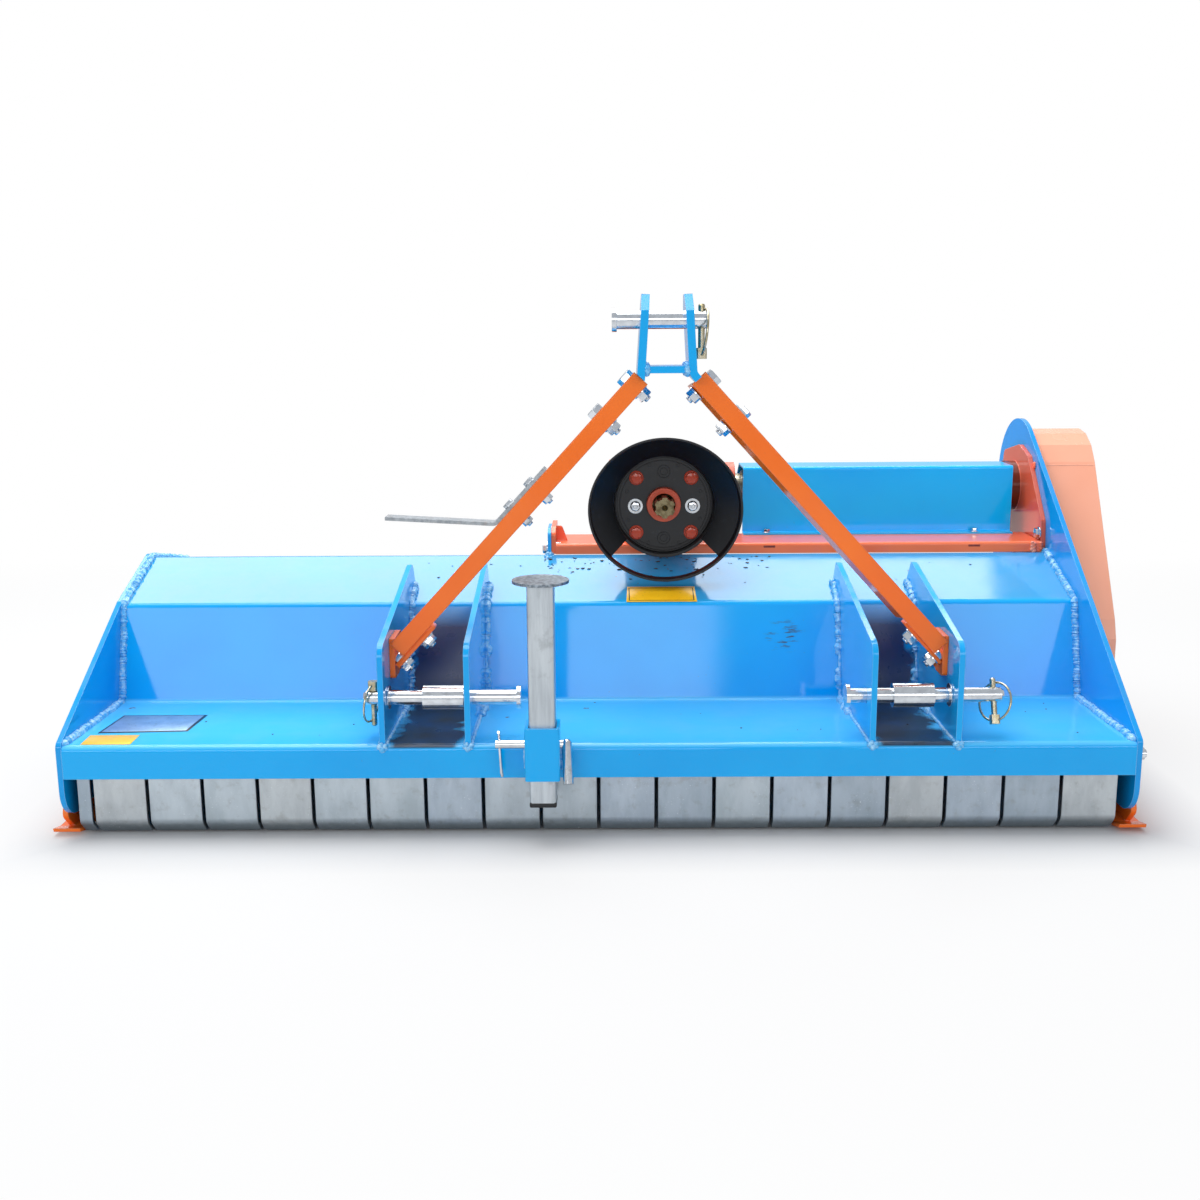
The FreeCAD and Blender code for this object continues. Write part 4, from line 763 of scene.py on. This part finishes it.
# %% Bars along a path
def swept(bm, path, radius, sides=8):
    """A round bar along a path of places; radius in millimetres, one number or one for each place."""
    radii = radius if isinstance(radius, list) else [radius] * len(path)
    bar = bmesh.new()
    turn = None
    last = None
    edges = []
    for i, place in enumerate(path):
        way = (path[min(i + 1, len(path) - 1)] - path[max(i - 1, 0)]).normalized()
        turn = way.to_track_quat("Z", "Y") if turn is None else (
            (turn @ Vector((0, 0, 1))).rotation_difference(way) @ turn)
        now = Matrix.Translation(place) @ turn.to_matrix().to_4x4() @ Matrix.Scale(radii[i] * MM, 4)
        if last is None:
            ring = bmesh.ops.create_circle(bar, cap_ends=True, segments=sides, radius=1, matrix=now)["verts"]
            edges = between(ring)
        else:
            grown = bmesh.ops.extrude_edge_only(bar, edges=edges)["geom"]
            ring = [g for g in grown if isinstance(g, bmesh.types.BMVert)]
            edges = [g for g in grown if isinstance(g, bmesh.types.BMEdge)]
            bmesh.ops.transform(bar, matrix=now @ last.inverted(), verts=ring)
        last = now
    bmesh.ops.contextual_create(bar, geom=edges)
    finished = bpy.data.meshes.new("bar")
    bar.to_mesh(finished)
    bar.free()
    bm.from_mesh(finished)
    bpy.data.meshes.remove(finished)


def dense(corners, step):
    """Places along a line of corners, a step in metres apart."""
    places = [corners[0]]
    for a, b in zip(corners, corners[1:]):
        count = max(1, round((b - a).length / step))
        places += [a.lerp(b, k / count) for k in range(1, count + 1)]
    return places


print("a metre in 1.5 mm steps has", len(dense([spot(0, 0, 0), spot(1000, 0, 0)], 1.5 * MM)), "places")

# %% [markdown]
# The hood is welded by hand, and its seams are the roughest thing on it: a MIG
# bead lies in every inside corner, with ripples 3 to 5 mm apart, a wandering
# edge and a fat blob where the welder started or stopped. A bead is a bar swept
# along the corner whose radius beats with the ripples, and fixed seeds keep
# every bead the same from run to run. The beads' paint is lighter and duller,
# blotched with a paler shade: painted glints, the highlights of the ripples.

# %% Weld beads
RIPPLED = {"dusty": 0.3, "chips": 0.7, "edge_mm": 0.4, "grain_mm": 2.2, "grain_deep": 0.9}
# Painted glints: the lighter paint of the beads and its pale blotches, on the blue beads and the red ones
# alike.
bead_blue_painted_glints = enamel("sprayed_enamel_blue_on_weld_painted_glints", "4CB0EA", "A8D8F5", peel=0.8, rough=0.2, cloud_mm=6,
                   **RIPPLED)
bead_red_painted_glints = enamel("sprayed_enamel_red_on_weld_painted_glints", "E8704C", "F0A58C", peel=0.5, rough=0.16, cloud_mm=16,
                  **RIPPLED)
noise.seed_set(7)  # without it the noise vectors start from the clock


def bead(bm, corners, size, seed, ripple=4.0, step=1.5, rough=0.2, beat=0.14, lumpy=0.0):
    """A weld bead of that radius in millimetres along its corners; lumpy adds swellings of 6 mm or so."""
    chance = random.Random(seed)
    places = dense(corners, step * MM)
    radii = []
    for i in range(len(places)):
        wave = abs(math.sin(math.pi * i * step / ripple + 0.6 * math.sin(i * 0.11 + seed)))
        ends = min(1.0, 0.35 + 0.25 * min(i, len(places) - 1 - i))
        swell = lumpy * abs(noise.noise(places[i] * 150 + Vector((0, 3 * seed, 0))))
        radii.append(size * ends * (0.9 + beat * wave + swell + rough * (chance.random() - 0.5)))
        shift = noise.noise_vector(places[i] * 90 + Vector((seed, 0, 0)))
        places[i] = places[i] + shift * size * (0.28 + 0.4 * lumpy) * MM
    swept(bm, places, radii, 8)


def ball(bm, place, radius, levels=1):
    """The vertices of a new ball of that radius in millimetres."""
    return bmesh.ops.create_icosphere(bm, subdivisions=levels, radius=radius * MM,
                                      matrix=Matrix.Translation(place))["verts"]


def blob(bm, place, size, seed):
    """The lump at the end of a bead: a small ball pushed about by noise."""
    for v in ball(bm, place, size, 2):
        way = (v.co - place).normalized()
        v.co += way * size * MM * 0.3 * noise.noise(v.co * 160 + Vector((seed, 0, 0)))


HALF = round((hood_high.x - hood_low.x) / 2 / MM)
HOOD_LINE = [(4, 143), (248, 139.5), (289, 292), (446, 346), (638, 308.5)]
seams = bmesh.new()
for k, side in enumerate((-1, 1)):
    line = [spot(side * (HALF - 2), y + (0 if i else 2), z + 1) for i, (y, z) in enumerate(HOOD_LINE)]
    bead(seams, line, 6.4, 3 + k, rough=0.4)
make("weld_side_plates", seams, bead_blue_painted_glints)

# %% [markdown]
# The hitch plates are stitched, not welded right round: long thin runs seal the
# joint, and three fat ones lie where the pull comes in. Each plate's front foot
# is closed by a cluster of blobs.

# %% Welds of the hitch plates
THIN_RUN = [(5, 143.5), (247, 140.5), (287, 291), (352, 315.5)]
FAT_RUNS = [[(150, 142), (244, 140.5)], [(252.5, 152), (262, 190)],
            [(267, 208), (287.5, 291.5), (350, 315.5)]]
FOOT_BLOBS = [(-4, 0.5, 4.6), (4, 1.5, 4.4), (0, -3.5, 5.0), (-2, 4, 3.4), (5, -2, 3.0)]
plates = [(-317.5, -309), (-193, -184.5), (394.5, 403), (519, 527.5)]
seams = bmesh.new()
for k, (left, right) in enumerate(plates):
    for j, (x, out) in enumerate(((left, -1), (right, 1))):
        bead(seams, [spot(x + out, y, z) for y, z in THIN_RUN], 2.6, 11 + 2 * k + j)
        for n, run in enumerate(FAT_RUNS):
            line = [spot(x + 2 * out, y, z) for y, z in run]
            bead(seams, line, 5.6, 83 + 7 * k + 3 * j + n, ripple=5, rough=0.4, beat=0.03, lumpy=0.8)
    middle = (left + right) / 2
    for j, (dx, dz, size) in enumerate(FOOT_BLOBS):
        blob(seams, spot(middle + dx, 1.0, 140 + dz), size, 31 + 5 * k + j)
make("weld_hitch_plates", seams, bead_blue_painted_glints)
longest = sum((spot(0, *b) - spot(0, *a)).length for a, b in zip(HOOD_LINE, HOOD_LINE[1:]))
print("the longest seam is", round(longest, 2), "m")

# %% [markdown]
# Smaller welds hold the clevis strap, the stand's socket and its foot disc. The
# strap's four corners are filled with big hollow fillets, the socket has an
# uneven bead down each side, and the disc has a ring of weld under it, which
# rides with the leg because the leg slides through the socket.

# %% Small welds
small = bmesh.new()
CLEVIS_X, STRAP_Z = 100, 678
for k, (dx, dz) in enumerate(((-28.6, 5.5), (28.6, 5.5), (-28.6, -5.5), (28.6, -5.5))):
    bead(small, [spot(CLEVIS_X + dx, y, STRAP_Z + dz) for y in (31, 89)], 4.6, 51 + k)
for k, dx in enumerate((-28.2, 28.2)):
    bead(small, [spot(CLEVIS_X + dx, 29.5, STRAP_Z + dz) for dz in (-7, 7)], 4.2, 57 + k)
for k, (x, out) in enumerate(((-103.5, -1), (-53.5, 1))):
    bead(small, [spot(x + out * 1.5, -1.5, z) for z in (106, 141)], 3.6, 61 + k)
    blob(small, spot(x + out * 3.5, 1, 143), 4.4, 63 + k)
make("weld_small", small, bead_blue_painted_glints)

LEG_X, LEG_Y, LEG_HALF, UNDER_DISC = -78.5, -25, 19, 386.5
ring = bmesh.new()
corners = [spot(LEG_X + right * LEG_HALF, LEG_Y + back * LEG_HALF, UNDER_DISC)
           for right, back in ((-1, -1), (1, -1), (1, 1), (-1, 1))]
for k in range(4):
    bead(ring, [corners[k], corners[(k + 1) % 4]], 2.6, 71 + k)
make("weld_stand_disc", ring, stand_zinc, body="stand_leg")

bm = bmesh.new()
for k in range(9):
    blob(bm, spot(758 + 2.6 * math.sin(k * 2.1), 451.5, 347 + 1.9 * k), 4.4 - 0.2 * k, 91 + k)
bead(bm, [spot(771, 453, 347), spot(771, 453, 364)], 3.4, 103, rough=0.4)
make("weld_beam_end", bm, bead_red_painted_glints)

bm = bmesh.new()
bead(bm, [spot(-90, 455, 345), spot(-90, 525, 331)], 4.2, 105, rough=0.4)
bead(bm, [spot(-93, 452, 345.5), spot(-78, 452, 345.5)], 4.6, 107, rough=0.5)
for k, (dx, dz) in enumerate(((-6, -4), (4, -6), (-1, -9), (8, -3))):
    blob(bm, spot(-87 + dx, 446 + 1.2 * dz, 345 + 0.3 * dz), 2.4, 109 + k)
make("weld_beam_lug", bm, bead_blue_painted_glints)

# %% [markdown]
# The drive shaft's guard is one big moulding, screwed to the gearbox with the
# same bolts that hold its nose: four red-painted hex bolts in the corners, and
# two zinc ones at the sides, which hold only the guard, with broad washers and a
# black sealing ring. The mould left its marks too: a ring step round the flat
# web, two pairs of circles where the plastic was gated, and ejector dimples.

# %% Bolts and mould marks of the guard
GUARD_X, GUARD_Z = 111, 440
guard_low, guard_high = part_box("pto_guard")
WEB = round((guard_high.y - FRONT) / MM) - 4
print("the guard's web is", WEB, "mm behind the front edge")
toward = Vector((0, -1, 0))
COLLAR = 2.2
bm = bmesh.new()
for k, (dx, dz) in enumerate(((-46.5, 45), (46.5, 45), (-46.5, -48), (46.5, -48))):
    seat = spot(GUARD_X + dx, WEB, GUARD_Z + dz)
    turned(bm, seat, toward, [(0, 0), (0, 12.2), (1.4, 12.2), (COLLAR, 11.2), (COLLAR, 0)], 28)
    hexagon(bm, seat + toward * COLLAR * MM, toward, 17.5, 8.5, 0.2 + 0.35 * k)
make("guard_bolts_red", bm, bolt_red)

WASHER, HEAD, RING = 1.8, 7, 8.8
bm = bmesh.new()
rings = bmesh.new()
for k, dx in enumerate((-48, 49)):
    seat = spot(GUARD_X + dx, WEB, GUARD_Z - 3)
    tip = seat + toward * (WASHER + HEAD) * MM
    washer(bm, seat, toward, 13, WASHER)
    hexagon(bm, seat + toward * WASHER * MM, toward, 13.5, HEAD, 0.3 + 0.5 * k)
    turned(bm, tip, toward, [(0, 0), (0, 3.4), (1.6, 3.4), (2, 3), (2, 0)], 14)
    turned(rings, seat, toward, [(1.6, 0), (1.6, RING), (2.3, RING), (2.3, 0)], 28)
make("guard_bolts_zinc", bm, bright_zinc)
make("guard_bolt_rings", rings, guard_plastic)

MARKS = [(0, 0, 80.5, 3.0, 2.2), (0, 0, 74.5, 1.6, 1.2)]
for dz in (55.5, -58):
    MARKS += [(0, dz, 10.5, 1.4, 0.9), (0, dz, 6, 1.0, 0.7)]
for dx, dz in ((-62, 22), (62, 22), (-60, -27), (62, -25), (-24, 66), (24, 66), (-26, -66), (26, -66)):
    MARKS.append((dx, dz, 2.6, 0.9, 0.5))
bm = bmesh.new()
for dx, dz, radius, wide, proud in MARKS:
    inner, outer = radius - wide / 2, radius + wide / 2
    outline = [(-0.6, inner), (proud * 0.7, inner), (proud, radius - wide / 3), (proud, radius + wide / 3),
               (proud * 0.7, outer), (-0.6, outer), (-0.6, inner)]
    turned(bm, spot(GUARD_X + dx, WEB, GUARD_Z + dz), toward, outline, 48)
make("guard_mould_marks", bm, guard_plastic)

# %% [markdown]
# The guard's rim is rolled over into a thin lip, and a second edge shows where
# its two halves were joined in the mould. Both are thin bars carried right round
# the oval of the rim, just inside its box, and they run on as a hoop across the
# cut-away below.

# %% Lips of the guard
RIM_Y = round((guard_low.y - FRONT) / MM)
RIM_ACROSS = (guard_high.x - guard_low.x) / 2 / MM
RIM_UP = (guard_high.z - guard_low.z) / 2 / MM
RIM_MIDDLE = (guard_high.z + guard_low.z) / 2 / MM
bm = bmesh.new()
for y, shrink, radius in ((RIM_Y + 2.2, 2.3, 2.0), (RIM_Y + 20, 3.4, 1.1)):
    ring = []
    for k in range(73):
        turn = 2 * math.pi * k / 72
        ring.append(spot(GUARD_X + math.cos(turn) * (RIM_ACROSS - shrink), y,
                         RIM_MIDDLE + math.sin(turn) * (RIM_UP - shrink)))
    swept(bm, ring, radius, 6)
make("guard_lips", bm, guard_plastic)

# %% [markdown]
# The parking stand carries the small things that get lost: a spring R-clip
# through the pin's end, bent from 4 mm wire, and the black plastic plug that
# closes the tube's lower end. The clip stands edge-on to the front, so its path
# is drawn in the upright plane that runs fore and aft.

# %% R-clip and plug of the stand
CLIP_X, CLIP_Y, CLIP_Z = -142, -25, 152
loop = [(0, 22), (3, 21), (5.5, 17.5), (5.5, 13), (3, 9.6), (0.4, 9.4), (0, 0), (0.3, -12), (0.6, -40)]
bent = [(5.5, 14), (9.5, 8), (9.8, 3), (8.4, -3), (8.2, -8), (9.6, -18), (8.6, -30), (6.5, -41), (8.6, -47)]
bm = bmesh.new()
for line in (loop, bent):
    swept(bm, [spot(CLIP_X + 0.05 * (22 - z), CLIP_Y + y, CLIP_Z - 4 + z) for y, z in line], 2.1, 10)
make("stand_clip", bm, bright_zinc)

PLUG_WIDE, PLUG_HIGH = 38.8, 8
leg_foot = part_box("stand_leg")[0].z / MM
bm = bmesh.new()
bmesh.ops.create_cube(bm, size=1.0, matrix=Matrix.Translation(spot(LEG_X, LEG_Y, leg_foot + 2.5))
                      @ Matrix.Diagonal((PLUG_WIDE * MM, PLUG_WIDE * MM, PLUG_HIGH * MM, 1)))
round_off(bm, bm.edges[:], 2.2, segments=3)
make("stand_plug", bm, guard_plastic, body="stand_leg")
print("plug under the leg at", round(leg_foot), "mm")

# %% [markdown]
# The beam under the gearbox ends in plates. Its left one is bolted to a lug on
# the hood, with the bolt across the machine. The right one bolts to the bearing
# plate, close beside the tall side plate. The shaft's cover is held down by two
# upright bolts on its front flange, and a red plug closes a hole in the plate.

# %% Bolts of the beam and the cover
bm = bmesh.new()
across = Vector((1, 0, 0))
LUG_LEFT, LUG_RIGHT, LUG_Y, LUG_Z = -89.2, -75.6, 470, 355
FLANGE_Y, FLANGE_TOP, FLAT = 551, 367.2, 1.2
nut(bm, spot(LUG_RIGHT, LUG_Y, LUG_Z), across, 11, 0.3, out=4, plate=False)
bolt_head(bm, spot(LUG_LEFT, LUG_Y, LUG_Z), -across, 11, 0.1)
for x, turn in ((304, 0.2), (680, 0.5)):
    washer(bm, spot(x, FLANGE_Y, FLANGE_TOP), (0, 0, 1), 8, FLAT)
    hexagon(bm, spot(x, FLANGE_Y, FLANGE_TOP + FLAT), (0, 0, 1), 10.5, 5.5, turn)
bolt_head(bm, spot(773.6, 473, 376), -across, 10, 0.4)
make("frame_bolts", bm, bright_zinc)

bm = bmesh.new()
turned(bm, spot(781.8, 546, 487), -across, [(0, 0), (0, 6.5), (1.6, 6.2), (2.4, 5), (2.6, 0)], 20)
make("plate_plug", bm, red_enamel)

# %% [markdown]
# Each lower pin runs through both plates of its pair, and thin spring washers
# take up the play beside them. A bright washer is one more turned part.

# %% Washers on the lower pins
PIN_Y, PIN_Z, PIN_R = 44, 203, 11
bm = bmesh.new()
bore = PIN_R + 0.1
outline = [(0, bore), (0, 17.2), (0.4, 17.6), (2.0, 17.6), (2.4, 17.2), (2.4, bore), (0, bore)]
for x, way in ((-309, 1), (-193, -1), (403, 1), (519, -1), (527.5, 1)):
    turned(bm, spot(x + way * 0.2, PIN_Y, PIN_Z), across * way, outline, 32)
make("pin_washers", bm, bright_zinc)

# %% [markdown]
# Three stickers sit on the hood, all of them blank here: a yellow one on the
# slope under the guard, a small yellow one near the left end of the ledge, and a
# silver foil plate beside it with a thin dark frame. A sticker is a quarter of a
# millimetre of film, so each is a slab drawn from its four corners and pushed up
# from the sheet, with its edges rounded off.

# %% Stickers
def slab(bm, corners, push, edge_mm=0.15):
    """A thin block whose outer edges are rounded."""
    round_off(bm, between(pushed(bm, corners, push)), edge_mm)


def film(name, main, deep, metallic, rough, scuffs):
    """Printed vinyl or foil: an even colour, faint waves where it was rubbed down, and a few scuffs."""
    material, tree, place, shader = surface(name)
    tint = add(tree, "Mix", {0: blotches(tree, place, 35, 0.3, 0.7), 6: colour(main), 7: colour(deep)}, **MIX)
    rubbed = add(tree, "Math", {0: blotches(tree, place, 5, 0.6, 0.68, 4), 1: 0.5}, **MUL)
    tint = add(tree, "Mix", {0: rubbed, 6: tint, 7: colour(scuffs)}, **MIX)
    tree.links.new(tint, shader.inputs["Base Color"])
    shader.inputs["Metallic"].default_value = metallic
    shader.inputs["Roughness"].default_value = rough
    finish_skin(tree, shader, place, 12, 0.25, 0.25, 0.2)
    return material


yellow_film = film("vinyl_film_yellow", "FBC51C", "F4BA14", 0.0, 0.28, "C79A3A")
dark_film = film("vinyl_film_black", "1A1C20", "23262B", 0.0, 0.3, "50545A")
foil = film("aluminium_foil_plate", "A9C4DC", "90AECB", 0.6, 0.3, "6E8296")
SLOPE_START, SLOPE_RISE, LEDGE_FALL = 290, 53 / 157, 4 / 250


def on_slope(x, y, over=0.3):
    """A place on the sloping top of the hood, a little over the sheet."""
    return spot(x, y, FACE_TOP + (y - SLOPE_START) * SLOPE_RISE + over)


def on_ledge(x, y, over=0.3):
    """A place on the ledge, which falls a little towards the rear."""
    return spot(x, y, LEDGE_TOP - y * LEDGE_FALL + over)


SLOPE_UP, LEDGE_UP = Vector((0, -0.32, 0.947)), Vector((0, 0.016, 1))
bm = bmesh.new()
slab(bm, [on_slope(x, y) for x, y in ((46, 291), (162, 291), (160, 338), (48, 338))], SLOPE_UP * 0.3)
slab(bm, [on_ledge(x, y) for x, y in ((-757, 10), (-684, 10), (-686, 58), (-760, 58))], LEDGE_UP * 0.3)
make("blank_stickers", bm, yellow_film)

bm = bmesh.new()
LINES = [(49.5, 157.5, 294.5, 295.8), (51, 157, 333.2, 334.5), (50, 51.6, 294.5, 334.5),
         (156, 157.6, 294.5, 334.5)]
for left, right, near_y, far_y in LINES:
    corners = ((left, near_y), (right, near_y), (right, far_y), (left, far_y))
    slab(bm, [on_slope(x, y, 0.65) for x, y in corners], SLOPE_UP * 0.1, 0.03)
slab(bm, [on_ledge(x, y) for x, y in ((-753, 69), (-620, 77), (-616, 168), (-748, 167))], LEDGE_UP * 0.3)
make("sticker_borders", bm, dark_film)

bm = bmesh.new()
corners = ((-749, 73), (-624, 80.5), (-620.5, 164), (-744.5, 163))
slab(bm, [on_ledge(x, y, 0.7) for x, y in corners], LEDGE_UP * 0.25, 0.05)
make("blank_plate", bm, foil)

# %% [markdown]
# Nobody sweeps a machine before it goes to the yard: bits of bark and mud from
# the last job lie on the slope behind the guard. They are crumbs of 1 to 6 mm,
# each a rough little ball flattened by its own weight, thrown by a fixed seed so
# that they lie the same way every time.

# %% Crumbs of mud
mud, tree, place, shader = surface("dried_mud_crumbs")
cloud = blotches(tree, place, 3, 0.35, 0.65)
tint = add(tree, "Mix", {0: cloud, 6: colour("2E241C"), 7: colour("54453A")}, **MIX)
tree.links.new(tint, shader.inputs["Base Color"])
shader.inputs["Roughness"].default_value = 0.9
finish_skin(tree, shader, place, 1.0, 0.8, 0.4, 0.1)
chance = random.Random(8)
bm = bmesh.new()
GROUPS = [(34, -95, 40, 372, 438, 2.2), (34, 40, 190, 360, 436, 2.0), (16, 190, 300, 395, 438, 1.6),
          (7, -300, -95, 330, 430, 1.7), (6, 200, 720, 320, 420, 1.3)]
for count, left, right, near_y, far_y, size in GROUPS:
    for k in range(count):
        middle = on_slope(chance.uniform(left, right), far_y - (far_y - near_y) * chance.random() ** 1.6)
        radius = size * (0.45 + chance.random() ** 2)
        lump = ball(bm, middle, radius)
        for v in lump:
            v.co += noise.noise_vector(v.co * 900) * radius * 0.5 * MM
        bmesh.ops.scale(bm, vec=(1 + chance.random(), 1, 0.4), space=Matrix.Translation(-middle), verts=lump)
for k in range(16):
    middle = on_ledge(chance.uniform(-700, 740), chance.uniform(30, 235))
    lump = ball(bm, middle, 0.7 + chance.random())
    bmesh.ops.scale(bm, vec=(1.3, 1, 0.5), space=Matrix.Translation(-middle), verts=lump)
make("mud_crumbs", bm, mud)

# %% [markdown]
# The belt guard is two pressed halves, so a seam runs across its round ends,
# where one sheet laps over the other. Two slots in the beam's front edge are
# where the shaft's cover hooks in; each is drawn as a thin dark red bar on the
# face, painted shade of the recess. And the stay's bare shoulder on the right
# inner hitch plate was ground back to primer.

# %% Seams, slots and a bare shoulder
seams = bmesh.new()
guard_left, guard_right = ((v.x - MIDDLE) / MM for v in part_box("belt_guard"))
for y, z, radius, turn in ((640, 440, 105, 2.68), (640, 440, 105, 0.9), (490, 185, 102, 3.37)):
    at = (y + math.cos(turn) * radius, z + math.sin(turn) * radius)
    swept(seams, [spot(guard_left + 3, *at), spot(guard_right - 3, *at)], 0.9, 6)
make("belt_guard_seams", seams, faded_orange)

slots = bmesh.new()
for x in (298, 655):
    corners = [spot(x + dx, 452, z) for dx, z in ((-10, 356), (10, 356), (10, 359.5), (-10, 359.5))]
    slab(slots, corners, (0, -0.35, 0), 0.1)
# The slots are thin dark red bars: painted shade of the recesses.
slot_painted_shade = film("painted_shade_dark_red", "8E2F1E", "7C2818", 0.0, 0.5, "A04A36")
make("beam_slots", slots, slot_painted_shade)

bare = bmesh.new()
shoulder = ((395, 0.7), (402.5, 0.72), (402.5, 0.86), (395, 0.83))
slab(bare, [spot(x, 2 + 330 * along, 288 + 63 * along) for x, along in shoulder], (0, -0.05, 0.28), 0.1)
primer_white = film("ground_primer_pale", "C9DCEA", "B2CCE0", 0.0, 0.45, "8FB4D2")
make("plate_bare_patch", bare, primer_white)

# %% [markdown]
# The rear half is bolted: each roller bracket by two M14 bolts through its side
# plate, and the curtain by a row of small bolts through its strip. Every row is
# a loop over its places.

# %% Bolts at the sides and behind
plate_out = (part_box("side_plate_right")[1].x - MIDDLE) / MM
bracket_in = (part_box("roller_bracket_right")[0].x - MIDDLE) / MM
print("side plate to", round(plate_out, 1), "bracket from", round(bracket_in, 1))
bm = bmesh.new()
for side in (-1, 1):
    for y, z, turn in ((665, 165, 0.2), (725, 120, 0.7)):
        bolt_head(bm, spot(side * plate_out, y, z), across * side, 14, turn)
        nut(bm, spot(side * bracket_in, y, z), -across * side, 14, turn + 0.3, out=4)
make("roller_bolts", bm, bright_zinc)

bm = bmesh.new()
strip_low, strip_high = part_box("curtain_strip")
strip_back = (strip_high.y - FRONT) / MM
strip_z = (strip_low.z + strip_high.z) / 2 / MM
strip_half = (strip_high.x - strip_low.x) / 2 / MM
CURTAIN_BOLTS, END_BOLT_IN = 9, 25
for k in range(CURTAIN_BOLTS):
    x = (k / (CURTAIN_BOLTS - 1) * 2 - 1) * (strip_half - END_BOLT_IN)
    bolt_head(bm, spot(x, strip_back, strip_z), (0, 1, 0), 8, 0.4 * k)
make("curtain_bolts", bm, bright_zinc)

# %% [markdown]
# The gearbox is closed by a square cap that the guard hides from the front: four
# bolts hold it, with a drain plug in its middle, and a breather stands on top.

# %% Gearbox fittings
case_back = (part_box("gearbox")[1].y - FRONT) / MM
GEAR_Y, GEAR_Z, CASE_TOP = 640, 440, 491
print("gearbox back at", round(case_back), "mm")
bm = bmesh.new()
for dx in (-48, 48):
    for dz in (-48, 32):
        bolt_head(bm, spot(GUARD_X + dx, case_back, GEAR_Z + dz), (0, 1, 0), 10, 0.1 * dx)
breather = [(0, 0), (0, 9), (4, 9), (4, 6), (9, 6), (9, 11), (17, 11), (20, 8), (20, 0)]
turned(bm, spot(GUARD_X - 5, GEAR_Y + 60, CASE_TOP), (0, 0, 1), breather)
hexagon(bm, spot(GUARD_X, case_back, GEAR_Z - 8), (0, 1, 0), 22, 7, 0.3)
make("gearbox_fittings", bm, bright_zinc)

# %% Size and finish
full_low, full_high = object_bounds()
growth = (full_high - full_low) - (cad_high - cad_low)
print("grew by", [round(step / MM, 2) for step in growth], "mm")
